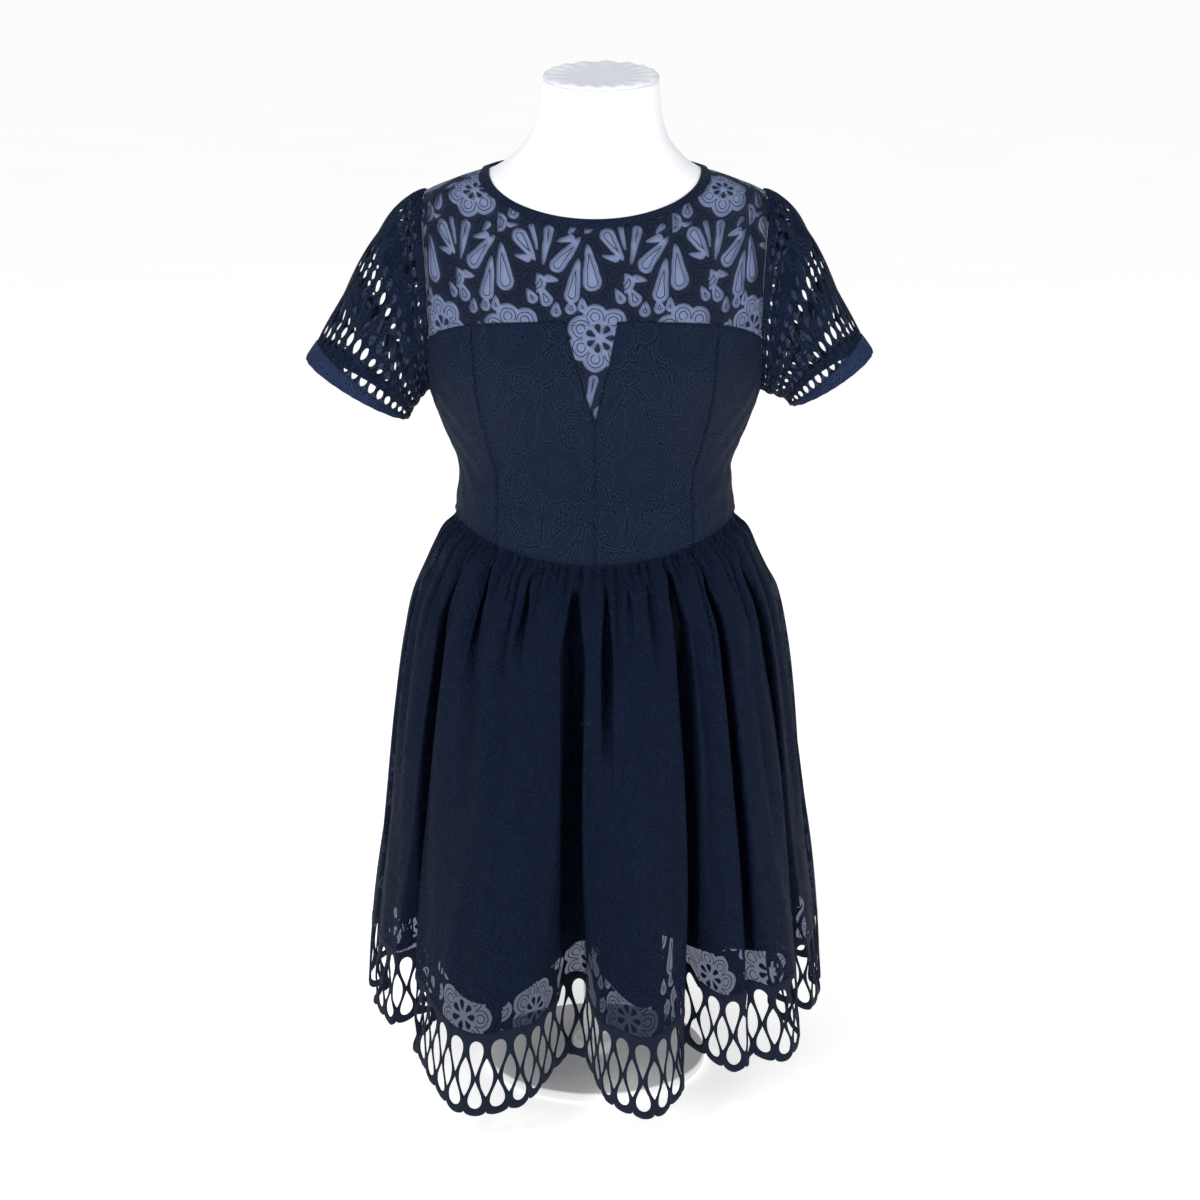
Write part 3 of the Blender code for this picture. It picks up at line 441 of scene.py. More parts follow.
def lining_surface(turn, down):
    wider = LINING_WIDER[0] * eased(down, 0.005, 0.04) + LINING_WIDER[1] * eased(down, 0.05, 0.20)
    inset = mix(LINING_INSET[0] * eased(down, 0.0, 0.014), LINING_INSET[1], eased(down, 0.12, 0.4))
    inset = inset * (1 - 0.5 * np.sin(turn) ** 4 * eased(down, 0.02, 0.1))
    point = skirt_ring(turn, down, wider, inset)
    away = unit(point * (1, 1, 0))
    radius = np.hypot(point[..., 0], point[..., 1])
    sunk, _ = slits(turn, radius, down, SLIT_ROOM + UNDERCUT)
    target = np.maximum(radius - sunk, form_radius(turn, point[..., 2]) + FORM_CLEARANCE)
    return point + away * (target - radius)[..., None]


GATHER_SHARPNESS, GATHER_WIDENS = 1.4, 1.2
ON_LINING, TUCKED, OVER_SEAM = 0.0016, -0.0016, 0.0008  # gap to the lining, and steps at the waist


def skirt_surface(share, down):
    """The main folds and their narrow bottoms, with the fine uneven gathers of the waist below it."""
    turn = cloth_turn(share, down)
    point = skirt_ring(turn, down)
    away = unit(point * (1, 1, 0))
    radius = np.hypot(point[..., 0], point[..., 1])
    start = eased(down, 0.0, 0.010)
    sunk, slip = slits(turn, radius, down)
    gathered = np.zeros_like(sunk)
    for at, depth, half, end, lean in SHORT_GATHERS + LONG_GATHERS:
        off = np.abs(turn_between(turn, at) * radius - lean * down / 0.2)
        fade = eased(end - down, 0.0, 0.8 * end)
        near = (1 - np.clip(off / (half * (1 + GATHER_WIDENS * down / end)), 0, 1)) ** GATHER_SHARPNESS
        gathered = np.maximum(gathered, depth * start * fade * near)
    sunk = np.maximum(sunk, 0.6 * sunk + gathered)
    for at, depth, half, begin, end in SOFT_FOLDS:
        off = turn_between(turn, at) * radius + 0.004 * np.sin(9 * down + at)
        along_it = eased(down, begin, begin + 0.1) * (1 - eased(down, end - 0.35, end))
        sunk += depth * along_it * bell(off, half * (1 + 0.6 * down))
    roll = 0.0008 * np.sin(turn * 23 + 6 * down) + 0.0006 * np.sin(turn * 41 - 9 * down + 1.3)
    under = lining_surface(turn, down)
    # It comes to rest on the lining, and its top edge is tucked behind the bodice.
    lowest = np.hypot(under[..., 0], under[..., 1]) + ON_LINING * eased(down, 0.0, 0.02)
    target = np.maximum(radius + roll * eased(down, 0.05, 0.3) - sunk, lowest)
    target += mix(TUCKED, OVER_SEAM, eased(down, -0.003, 0.004))
    aside = np.cross((0, 0, 1), away)
    return point + away * (target - radius)[..., None] + aside * slip[..., None]


def skirt_place(share, down, out):
    return raised(skirt_surface, share, down, -np.asarray(out, float), 0.0015, 0.0015)


# ---------------------------------------------------------------- meshes


def linked_object(name, data):
    made = bpy.data.objects.new(name, data)
    bpy.context.scene.collection.objects.link(made)
    return made


def set_points(mesh, points):
    mesh.vertices.foreach_set("co", np.asarray(points, np.float32).reshape(-1))
    mesh.update()


def set_cloth(mesh, places):
    """Stores each point's place on the flat cloth, in metres."""
    layer = mesh.attributes.new("cloth", "FLOAT_VECTOR", "POINT")
    layer.data.foreach_set("vector", np.asarray(places, np.float32).reshape(-1))


def bare_object(name, points, edges, faces):
    mesh = bpy.data.meshes.new(name)
    mesh.from_pydata(points, edges, faces)
    return linked_object(name, mesh)


def add_object(name, points, faces, cloth=None, material=None):
    """A smooth mesh in the row's frame, from points about the form's axis."""
    mesh = bpy.data.meshes.new(name)
    places = np.asarray(points, float).reshape(-1, 3) + AXIS
    mesh.from_pydata(places.tolist(), [], [list(map(int, face)) for face in faces])
    if cloth is not None:
        set_cloth(mesh, cloth)
    mesh.shade_smooth()
    mesh.materials.append(material)
    mesh.validate()
    return linked_object(name, mesh)


def grid_faces(rows, columns, wrap=False, flip=False, skip=None):
    """Quads between rows of points, anticlockwise where columns run right and rows run up."""
    faces = []
    for r in range(rows - 1):
        for c in range(columns if wrap else columns - 1):
            if skip is not None and skip[r, c]:
                continue
            d = (c + 1) % columns
            face = (r * columns + c, r * columns + d, (r + 1) * columns + d, (r + 1) * columns + c)
            faces.append(face[::-1] if flip else face)
    return faces


def lidded_faces(rows, count):
    """Faces of a stack of rings that run up, with a lid at each end."""
    lids = [tuple(reversed(range(count))), tuple(range((rows - 1) * count, rows * count))]
    return grid_faces(rows, count, wrap=True) + lids


def grid_object(name, points, cloth, material, wrap=False, flip=False):
    rows, columns = points.shape[:2]
    return add_object(name, points, grid_faces(rows, columns, wrap, flip), cloth, material)


def closed(obj):
    """Drops loose points, and turns every face of a closed wall outwards."""
    work = bmesh.new()
    work.from_mesh(obj.data)
    bmesh.ops.delete(work, geom=[point for point in work.verts if not point.link_faces], context="VERTS")
    bmesh.ops.recalc_face_normals(work, faces=work.faces)
    work.to_mesh(obj.data)
    work.free()
    return obj


def surface_area(obj):
    return sum(face.area for face in obj.data.polygons)


def thickened(points, normals, cloth, faces, wall):
    """Both sides of a wall and its rim, as (points, cloth, faces)."""
    count = len(points)
    half = wall / 2
    both = np.concatenate([points + normals * half, points - normals * half])
    rim = {}
    walls = []
    for face in faces:
        for a, b in zip(face, face[1:] + face[:1]):
            if rim.pop((b, a), None) is None:
                rim[(a, b)] = True
        walls += [face, tuple(count + i for i in reversed(face))]
    walls += [(b, a, count + a, count + b) for a, b in rim]
    return both, np.concatenate([cloth, cloth]), walls


def place_piece(obj, node, flat=None, layers=1):
    """Attaches a finished piece to the root, and hides the node that it stands for. The cloth it was cut
    from, given by flat and layers, is not used.
    """
    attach(obj, "root")
    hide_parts(node)
    if flat:
        whole = flat[0] * flat[1]
        area = min(whole, max(0.3 * whole, surface_area(obj) / layers))


# ---------------------------------------------------------------- materials


def colour(text):
    """An sRGB hex colour as the linear values that a shader needs."""
    values = [int(text[i : i + 2], 16) / 255 for i in (1, 3, 5)]
    return [v / 12.92 if v <= 0.04045 else ((v + 0.055) / 1.055) ** 2.4 for v in values]


def add(tree, kind, *inputs, out=0, named=None, **settings):
    """Adds a node. Each input is a value, or a socket to link, or None to leave alone.

    Inputs go to its enabled sockets in order, or in named to a socket by its name.
    """
    node = tree.nodes.new(kind if "Node" in kind else "ShaderNode" + kind)
    for name, value in settings.items():
        setattr(node, name, value)
    pairs = list(zip([socket for socket in node.inputs if socket.enabled], inputs))
    pairs += [(node.inputs[name], value) for name, value in (named or {}).items()]
    for socket, value in pairs:
        if isinstance(value, bpy.types.NodeSocket):
            tree.links.new(value, socket)
        elif value is not None:
            socket.default_value = value
    return node.outputs[out] if node.outputs else node


# The embroidery's repeat, in millimetres, from the middle of a blossom. Blossom rows stand half a repeat
# aside from each other. A drop has a pointed end, a round end and the radius of its round end.
REPEAT_WIDTH, ROW_HEIGHT, ROW_START = 85.0, 145.0, -34.0
POINT_RADIUS, DROP_FULLNESS = 0.5, 0.72
DROPS = (
    ((-12, 90), (-7.5, 54), 8.6),
    ((-21, 76), (-27, 41.5), 7.3),
    ((-19, 97), (-41, 71), 7.3),
    ((22, 76), (7, 99), 7.0),
    ((24, 86), (19, 109), 2.2),
    ((30, 72), (36, 105), 4.4),
    ((3, 79.5), (15, 77), 3.1),
    ((-40, 94), (-28, 97), 3.4),
    ((44, 56), (35, 57.5), 3.6),
    ((15, 47), (20, 38), 4.6),
    ((28, 48), (33.5, 37), 6.0),
    ((-30, 102), (-25, 108), 2.6),
    ((-28, 36), (-28, 28), 5.0),
    ((-17, 38), (-17, 29), 4.4),
    ((-41, 34), (-42, 25), 4.8),
    ((-42, -12), (-42, -24), 5.4),
    ((5, 111), (-2, 110), 3.2),
)
BUDS = (  # centre and radius, and those of the bite out of it
    ((-42.4, 5), 9.8, (-42.4, 15.5), 6.5),
    ((23.5, 53), 9.2, (19.5, 57.5), 4.4),
    ((-15, 111), 9.2, (-21.5, 111), 6.4),
    ((27.5, -34), 9.2, (21, -34), 6.4),
)
LOBES, LOBE_DISTANCE, LOBE_RADIUS = 7, 20.5, 11.8
HEART_RADIUS = 14.0
HEART_DROP = ((4.6, 0.0), (11.0, 0.0), 3.6)
LOOP_INSET, ARC_MIDDLE, ARC_HALF_GAP, ARC_REACH = 3.5, 5.6, 1.9, 17.0
LINE_EDGES, WINDOW_EDGES = (0.30, 0.62), (0.25, 0.75)
RIM_EDGES, RIM_HEIGHT = (0.2, 0.9), 0.5
STITCH_ROWS, ROW_RELIEF = 3.4, 0.4  # the rows of stitches that echo each outline, and their relief
WOBBLE, WOBBLE_SCALE = 2.6, 60.0  # how far the machine strays, over about 17 mm


def drop(tree, place, point, end, radius):
    """Millimetres outside a drop, from its pointed end to its round end, repeated sideways."""
    reach = Vector((end[0] - point[0], end[1] - point[1], 0))
    half = (REPEAT_WIDTH / 2, 1000, 0)
    start = add(tree, "VectorMath", place, (*point, 0), operation="SUBTRACT")
    start = add(tree, "VectorMath", start, half, tuple(-v for v in half), operation="WRAP")
    per_length = tuple(reach / reach.length_squared)
    share = add(tree, "VectorMath", start, per_length, operation="DOT_PRODUCT", out=1)
    share = add(tree, "Math", share, 0.0, operation="ADD", use_clamp=True)
    spine = add(tree, "VectorMath", tuple(reach), share, operation="SCALE")
    off = add(tree, "VectorMath", start, spine, operation="DISTANCE", out=1)
    share = add(tree, "Math", share, DROP_FULLNESS, operation="POWER")
    off = add(tree, "Math", share, POINT_RADIUS - radius, off, operation="MULTIPLY_ADD")
    return add(tree, "Math", off, POINT_RADIUS, operation="SUBTRACT")


def lace_pattern():
    """Cloth place in metres to the share of open window, and the height of the stitching."""
    tree = bpy.data.node_groups.new("organza embroidery", "ShaderNodeTree")
    tree.interface.new_socket("Cloth", in_out="INPUT", socket_type="NodeSocketVector")
    tree.interface.new_socket("Window", in_out="OUTPUT", socket_type="NodeSocketFloat")
    tree.interface.new_socket("Stitches", in_out="OUTPUT", socket_type="NodeSocketFloat")
    cloth = add(tree, "NodeGroupInput")
    wobble = add(tree, "TexNoise", cloth, WOBBLE_SCALE, 1.0, out=1)
    most, least = (WOBBLE, WOBBLE, 0), (-WOBBLE / 2, -WOBBLE / 2, 0)
    wobble = add(tree, "VectorMath", wobble, most, least, operation="MULTIPLY_ADD")
    place = add(tree, "VectorMath", cloth, (1000, 1000, 0), wobble, operation="MULTIPLY_ADD")
    parts = add(tree, "SeparateXYZ", place).node.outputs
    row = add(tree, "Math", parts[1], 1 / ROW_HEIGHT, -ROW_START / ROW_HEIGHT, operation="MULTIPLY_ADD")
    row = add(tree, "Math", row, operation="FLOOR")
    aside = add(tree, "Math", row, 1.0, operation="PINGPONG")
    x = add(tree, "Math", aside, REPEAT_WIDTH / 2, parts[0], operation="MULTIPLY_ADD")
    x = add(tree, "Math", x, REPEAT_WIDTH / 2, -REPEAT_WIDTH / 2, operation="WRAP")
    y = add(tree, "Math", row, -ROW_HEIGHT, parts[1], operation="MULTIPLY_ADD")
    place = add(tree, "CombineXYZ", x, y)
    windows = drop(tree, place, *DROPS[0])
    for shape in DROPS[1:]:
        windows = add(tree, "Math", windows, drop(tree, place, *shape), operation="MINIMUM")
    for centre, radius, bite, bite_radius in BUDS:
        inside = drop(tree, place, (centre[0] - 0.1, centre[1]), centre, radius)
        bitten = drop(tree, place, (bite[0] - 0.1, bite[1]), bite, bite_radius)
        bitten = add(tree, "Math", bitten, -1.0, operation="MULTIPLY")
        off = add(tree, "Math", inside, bitten, operation="MAXIMUM")
        windows = add(tree, "Math", windows, off, operation="MINIMUM")
    # One lobe of the blossom, turned to all of them.
    reach = add(tree, "VectorMath", place, operation="LENGTH", out=1)
    angle = add(tree, "Math", y, x, operation="ARCTAN2")
    angle = add(tree, "Math", angle, PI / LOBES, -PI / LOBES, operation="WRAP")
    ahead = add(tree, "Math", angle, operation="COSINE")
    aside = add(tree, "Math", angle, operation="SINE")
    unfolded = add(tree, "CombineXYZ", ahead, aside)
    folded = add(tree, "VectorMath", unfolded, reach, operation="SCALE")
    lobe = add(tree, "VectorMath", folded, (LOBE_DISTANCE, 0, 0), operation="DISTANCE", out=1)
    lobe = add(tree, "Math", lobe, LOBE_RADIUS, operation="SUBTRACT")
    heart = add(tree, "Math", reach, HEART_RADIUS, operation="SUBTRACT")
    petal = add(tree, "Math", drop(tree, folded, *HEART_DROP), -1.0, operation="MULTIPLY")
    blossom = add(tree, "Math", lobe, heart, operation="MINIMUM")
    blossom = add(tree, "Math", blossom, petal, operation="MAXIMUM")
    # A stitched loop runs inside each window, and two arcs inside each lobe of a blossom.
    loop = add(tree, "Math", windows, LOOP_INSET, operation="ADD")
    loop = add(tree, "Math", loop, operation="ABSOLUTE")
    arcs = add(tree, "Math", lobe, ARC_MIDDLE, operation="ADD")
    arcs = add(tree, "Math", arcs, operation="ABSOLUTE")
    arcs = add(tree, "Math", arcs, ARC_HALF_GAP, operation="SUBTRACT")
    arcs = add(tree, "Math", arcs, operation="ABSOLUTE")
    inward = add(tree, "Math", reach, -1.0, ARC_REACH, operation="MULTIPLY_ADD")
    arcs = add(tree, "Math", arcs, inward, operation="MAXIMUM")
    line = add(tree, "Math", loop, arcs, operation="MINIMUM")
    edge = {"interpolation_type": "SMOOTHSTEP"}
    line = add(tree, "MapRange", line, *LINE_EDGES, **edge)
    windows = add(tree, "Math", windows, blossom, operation="MINIMUM")
    window = add(tree, "MapRange", windows, *WINDOW_EDGES, 1.0, 0.0, **edge)
    window = add(tree, "Math", window, line, operation="MULTIPLY")
    rim = add(tree, "Math", windows, sum(WINDOW_EDGES) / 2, operation="SUBTRACT")
    rim = add(tree, "Math", rim, operation="ABSOLUTE")
    rim = add(tree, "MapRange", rim, *RIM_EDGES, RIM_HEIGHT, 0.0, **edge)
    rows = add(tree, "Math", windows, 2 * PI / STITCH_ROWS, operation="MULTIPLY")
    rows = add(tree, "Math", rows, operation="SINE")
    height = add(tree, "Math", rim, window, operation="SUBTRACT")
    height = add(tree, "Math", rows, ROW_RELIEF, height, operation="MULTIPLY_ADD")
    ends = tree.nodes.new("NodeGroupOutput")
    tree.links.new(window, ends.inputs[0])
    tree.links.new(height, ends.inputs[1])
    return tree


# Scales of textures. At scale 1 a wave texture has 10 / pi bands a metre, or 7 / pi of those that run
# aslant, and a noise has one patch a metre.
LACE_THREAD, LACE_GRAIN = 900.0, 520.0  # threads 0.5 mm apart, uneven in patches of 1.9 mm
CORD_THREAD, CORD_GRAIN = 760.0, 500.0  # threads 0.4 mm apart, uneven in patches of 2 mm
LINING_SLUBS = (900.0, 60.0, 1.0)  # 1.1 mm wide and 17 mm long
KNIT_LOOPS, KNIT_FUZZ, KNIT_TONE = 620.0, 300.0, 14.0  # loops 0.5 mm apart, fuzz of 3 mm, tones of 70 mm
STEEL_PEEL, STEEL_TONE = 240.0, 9.0  # orange peel of 4 mm, tones of 110 mm


SHEEN, SEEN_THROUGH = "#7f93c4", "#c3cbe0"  # the thread's gleam, and light through navy organza


def new_material(name):
    made = bpy.data.materials.new(name)
    made.use_nodes = True
    made.node_tree.nodes.clear()
    return made, made.node_tree


def lace_material(name, pattern, settings, origin, shades, window_shade, sheer, pores):
    """Nylon organza, embroidered all over in rayon thread: a soft sheen on thread, sheer windows."""
    _, tree = new_material(name)
    cloth = add(tree, "Attribute", attribute_name="cloth", out=1)
    moved = add(tree, "VectorMath", cloth, (*origin, 0), operation="SUBTRACT")
    window = add(tree, "Group", node_tree=pattern)
    tree.links.new(moved, window.node.inputs[0])
    stitches = window.node.outputs[1]
    thread = add(tree, "TexWave", cloth, LACE_THREAD, 9.0, 1.0, 3.0, out=1, bands_direction="DIAGONAL")
    grain = add(tree, "TexNoise", cloth, LACE_GRAIN, 3.0, 0.6)
    relief = add(tree, "Math", thread, 0.35, stitches, operation="MULTIPLY_ADD")
    relief = add(tree, "Math", grain, 1.2, relief, operation="MULTIPLY_ADD")
    normal = add(tree, "Bump", named={"Strength": 0.9, "Distance": 0.0015, "Height": relief})
    # Painted shade: the thread's colour is lighter where the stitching stands high and darker in the low
    # rows between, over its real uneven tone in patches.
    tone_and_painted_shade = add(tree, "Math", stitches, 0.22, grain, operation="MULTIPLY_ADD")
    tone_and_painted_shade = add(tree, "MapRange", tone_and_painted_shade, 0.35, 0.65)
    stitched = add(tree, "MixRGB", tone_and_painted_shade, *[(*ends, 1) for ends in shades])
    base = add(tree, "MixRGB", window, stitched, (*window_shade, 1))
    body = add(tree, "BsdfPrincipled", named=thread_skin(base, normal, settings))
    if sheer:
        # The open ground of the organza lets through a little light between the threads too.
        ground = add(tree, "MapRange", grain, 0.45, 0.70, pores * 0.4, pores)
        through = add(tree, "MixRGB", window, ground, (sheer, sheer, sheer, 1))
        clear = add(tree, "BsdfTransparent", (*colour(SEEN_THROUGH), 1))
        body = add(tree, "MixShader", through, body, clear)
    add(tree, "OutputMaterial", body)


def thread_skin(base, normal, settings):
    """Sockets of a surface of rayon thread, which gleams little."""
    return {
        "Base Color": base,
        "Normal": normal,
        "Roughness": settings.roughness,
        "Specular IOR Level": settings.gleam,
        "Sheen Weight": settings.sheen,
        "Sheen Roughness": 0.45,
        "Sheen Tint": (*colour(SHEEN), 1),
    }


def cord_material(name, settings):
    """Satin stitch over a cord: rows of rayon thread side by side, with a soft gleam."""
    _, tree = new_material(name)
    cloth = add(tree, "Attribute", attribute_name="cloth", out=1)
    thread = add(tree, "TexWave", cloth, CORD_THREAD, 2.5, 2.0, 2.0, out=1, bands_direction="Y")
    grain = add(tree, "TexNoise", cloth, CORD_GRAIN, 2.0)
    relief = add(tree, "Math", grain, 0.7, thread, operation="MULTIPLY_ADD")
    normal = add(tree, "Bump", named={"Strength": 0.7, "Distance": 0.0006, "Height": relief})
    # Painted shade: the cord's colour follows its relief, lighter on each row of thread and darker in the
    # grooves between, over uneven tone in patches.
    tone_and_painted_shade = add(tree, "MapRange", relief, 0.35, 1.2)
    base = add(tree, "MixRGB", tone_and_painted_shade, (*settings.cord_dark, 1), (*settings.cord_light, 1))
    add(tree, "OutputMaterial", add(tree, "BsdfPrincipled", named=thread_skin(base, normal, settings)))


def lining_material(settings):
    """Woven polyester lining: smooth, close and nearly black, with faint vertical slubs."""
    made, tree = new_material("polyester lining")
    cloth = add(tree, "Attribute", attribute_name="cloth", out=1)
    stretched = add(tree, "VectorMath", cloth, LINING_SLUBS, operation="MULTIPLY")
    slub = add(tree, "TexNoise", stretched, 1.0, 2.0)
    base = add(tree, "MixRGB", slub, (*settings.lining_dark, 1), (*settings.lining_light, 1))
    normal = add(tree, "Bump", named={"Strength": 0.5, "Distance": 0.0002, "Height": slub})
    skin = {"Base Color": base, "Normal": normal, "Roughness": 0.55, "Specular IOR Level": 0.12}
    add(tree, "OutputMaterial", add(tree, "BsdfPrincipled", named=skin))
    return made


def jersey_material(name, shades):
    """Bleached cotton jersey stretched over foam: matt, with fine columns of knit loops."""
    made, tree = new_material(name)
    place = add(tree, "TexCoord", out=3)
    knit = add(tree, "TexWave", place, KNIT_LOOPS, 3.0, 1.0, 2.0, bands_direction="X", out=1)
    fuzz = add(tree, "TexNoise", place, KNIT_FUZZ, 3.0)
    relief = add(tree, "Math", fuzz, 0.8, knit, operation="MULTIPLY_ADD")
    normal = add(tree, "Bump", named={"Strength": 0.35, "Distance": 0.0002, "Height": relief})
    tone = add(tree, "TexNoise", place, KNIT_TONE, 2.0)
    base = add(tree, "MixRGB", tone, *[(*ends, 1) for ends in shades])
    skin = {"Base Color": base, "Normal": normal, "Roughness": 0.85, "Specular IOR Level": 0.2}
    add(tree, "OutputMaterial", add(tree, "BsdfPrincipled", named=skin))
    return made


def coated_steel_material(settings):
    """Powder-coated steel: an even satin skin with the faint orange peel of baked powder."""
    made, tree = new_material("powder-coated steel")
    place = add(tree, "TexCoord", out=3)
    peel = add(tree, "TexNoise", place, STEEL_PEEL, 2.0)
    normal = add(tree, "Bump", named={"Strength": 0.25, "Distance": 0.0002, "Height": peel})
    tone = add(tree, "TexNoise", place, STEEL_TONE, 2.0)
    base = add(tree, "MixRGB", tone, (*settings.stand, 1), (*settings.stand_shade, 1))
    skin = {"Base Color": base, "Normal": normal, "Roughness": 0.42}
    add(tree, "OutputMaterial", add(tree, "BsdfPrincipled", named=skin))
    return made


# ---------------------------------------------------------------- settings


def tint(name, default, description):
    """A colour that a user may change, whose default is an sRGB hex value."""
    return bpy.props.FloatVectorProperty(
        name=name, description=description, default=colour(default), size=3, min=0, max=1, subtype="COLOR"
    )


SHARE = {"min": 0, "max": 1, "subtype": "FACTOR"}
LENGTH = {"subtype": "DISTANCE", "unit": "LENGTH"}


def number(name, default, description, **kind):
    return bpy.props.FloatProperty(name=name, description=description, default=default, **kind)


class DressCloth(bpy.types.PropertyGroup):
    bodice_dark: tint("Bodice, darker", "#080e1b", "Colour of the thread on the lined bodice")
    bodice_light: tint("Bodice, lighter", "#263754", "Colour of the thread on the lined bodice")
    bodice_window: tint("Bodice windows", "#1a2640", "Colour of the organza over the bodice's lining")
    yoke_dark: tint("Yoke, darker", "#0a101e", "Colour of the thread on the sheer yoke")
    yoke_light: tint("Yoke, lighter", "#232e48", "Colour of the thread on the sheer yoke")
    organza: tint("Organza", "#55648a", "Colour of the sheer ground in a window")
    skirt_dark: tint("Skirt, darker", "#030815", "Colour of the thread on the skirt")
    skirt_light: tint("Skirt, lighter", "#142544", "Colour of the thread on the skirt")
    skirt_window: tint("Skirt windows", "#182642", "Colour of the organza on the skirt")
    cuff_dark: tint("Cuffs, darker", "#10182a", "Colour of the thread on the folded cuffs")
    cuff_light: tint("Cuffs, lighter", "#3a5079", "Colour of the thread on the folded cuffs")
    cuff_window: tint("Cuff windows", "#2b3b60", "Colour of the organza on the folded cuffs")
    cord_dark: tint("Cord, darker", "#0c1220", "Colour of the satin stitches")
    cord_light: tint("Cord, lighter", "#262e43", "Colour of the satin stitches")
    lining_dark: tint("Lining, darker", "#0c1322", "Colour of the lining")
    lining_light: tint("Lining, lighter", "#161f33", "Colour of the lining")
    sheer: number("Sheer", 0.80, "Light let through a window", **SHARE)
    pores: number("Pores", 0.12, "Light let through the yoke's ground", **SHARE)
    roughness: number("Roughness", 0.62, "Of the thread", **SHARE)
    gleam: number("Gleam", 0.08, "Of the thread", **SHARE)
    sheen: number("Sheen", 0.015, "Of the thread", **SHARE)


class DressShape(bpy.types.PropertyGroup):
    columns: bpy.props.IntProperty(
        name="Skirt columns", description="Across the front of the skirt", default=780, min=60
    )
    rows: bpy.props.IntProperty(name="Skirt rows", description="Down the skirt", default=112, min=20)
    slits: bpy.props.IntProperty(
        name="Sleeve slits", description="In each row of half a sleeve", default=17, min=5
    )
    slit_share: number("Slit width", 0.66, "Share of a repeat", min=0.1, max=0.9, subtype="FACTOR")
    bar_height: number("Border thickness", 0.0021, "Of its corded bars", **LENGTH)
    stitch_length: number("Stitch length", 0.0026, "Of a topstitch", **LENGTH)
    stitch_width: number("Stitch width", 0.0007, "Of its thread", **LENGTH)
    seam_depth: number("Seam depth", 0.0016, "Of the groove at a seam", **LENGTH)


class DressStand(bpy.types.PropertyGroup):
    cover: tint("Cover", "#f6f7fa", "Colour of the form's jersey")
    cover_shade: tint("Cover, greyer", "#eceef3", "Colour of the form's jersey")
    neck_cap: tint("Neck cap", "#e0e2e9", "Colour of the cap on the neck")
    neck_cap_shade: tint("Neck cap, greyer", "#d2d5dd", "Colour of the cap on the neck")
    stand: tint("Stand", "#fbfbfb", "Colour of the coated steel")
    stand_shade: tint("Stand, greyer", "#f6f6f7", "Colour of the coated steel")


class DressStage(bpy.types.PropertyGroup):
    floor: tint("Floor", "#fafafa", "Colour of the floor")
    floor_shade: tint("Floor, greyer", "#f5f5f6", "Colour of the floor")
    floor_glow: number("Floor glow", 0.50, "Light from under the white floor", min=0)
    sky: number("Sky", 0.50, "Strength of the even light", min=0)
    key: number("Key", 74.0, "Main lamp, watts", min=0, subtype="POWER")
    fill: number("Fill", 30.0, "Second lamp, watts", min=0, subtype="POWER")
    lens: number("Lens", 81.0, "Focal length, mm", subtype="DISTANCE_CAMERA")


# ---------------------------------------------------------------- pieces


def made_from_nodes(name, tree, values):
    """A plain mesh object from a geometry tree, whose inputs are given by name."""
    carrier = bare_object(name + " carrier", [], [], [])
    modifier = carrier.modifiers.new("made", "NODES")
    modifier.node_group = tree
    for item in tree.interface.items_tree:
        if item.item_type == "SOCKET" and item.in_out == "INPUT" and item.name in values:
            modifier[item.identifier] = values[item.name]
    graph = bpy.context.evaluated_depsgraph_get()
    graph.update()
    mesh = bpy.data.meshes.new_from_object(carrier.evaluated_get(graph))
    mesh.name = name
    bpy.data.objects.remove(carrier)
    mesh.shade_smooth()
    return linked_object(name, mesh)


def geometry_tree(name, inputs):
    """An empty geometry tree with named inputs, as (tree, {name: socket}, the output node)."""
    tree = bpy.data.node_groups.new(name, "GeometryNodeTree")
    for label, kind in inputs.items():
        tree.interface.new_socket(label, in_out="INPUT", socket_type="NodeSocket" + kind)
    tree.interface.new_socket("Mesh", in_out="OUTPUT", socket_type="NodeSocketGeometry")
    start = tree.nodes.new("NodeGroupInput")
    ends = tree.nodes.new("NodeGroupOutput")
    return tree, {label: start.outputs[label] for label in inputs}, ends


def repeat_tree():
    """Copies of a cell side by side along X, joined where they meet."""
    inputs = {"Cell": "Object", "Count": "Int", "Pitch": "Float", "Material": "Material"}
    tree, given, ends = geometry_tree("lace repeat", inputs)
    step = add(tree, "CombineXYZ", given["Pitch"])
    line = add(tree, "GeometryNodeMeshLine", given["Count"], None, step)
    cell = add(tree, "GeometryNodeObjectInfo", given["Cell"], out=4)
    copies = add(tree, "GeometryNodeInstanceOnPoints", line, None, cell)
    joined = add(tree, "GeometryNodeRealizeInstances", copies)
    joined = add(tree, "GeometryNodeMergeByDistance", joined, None, 1e-6)
    joined = add(tree, "GeometryNodeSetMaterial", joined, None, given["Material"])
    tree.links.new(joined, ends.inputs[0])
    return tree


def in_metres(mesh):
    places = np.empty(len(mesh.vertices) * 3, np.float32)
    mesh.vertices.foreach_get("co", places)
    return places.reshape(-1, 3).astype(float)


SEAM_RIDGE = 0.0038  # from a seam to the ridge, and the row of stitches, beside it


def pressed(distance, depth):
    """The dip at a seam and the ridge of the seam allowance beside it."""
    return 0.45 * depth * bell(distance - SEAM_RIDGE, 0.0022) - depth * bell(distance, 0.0011)


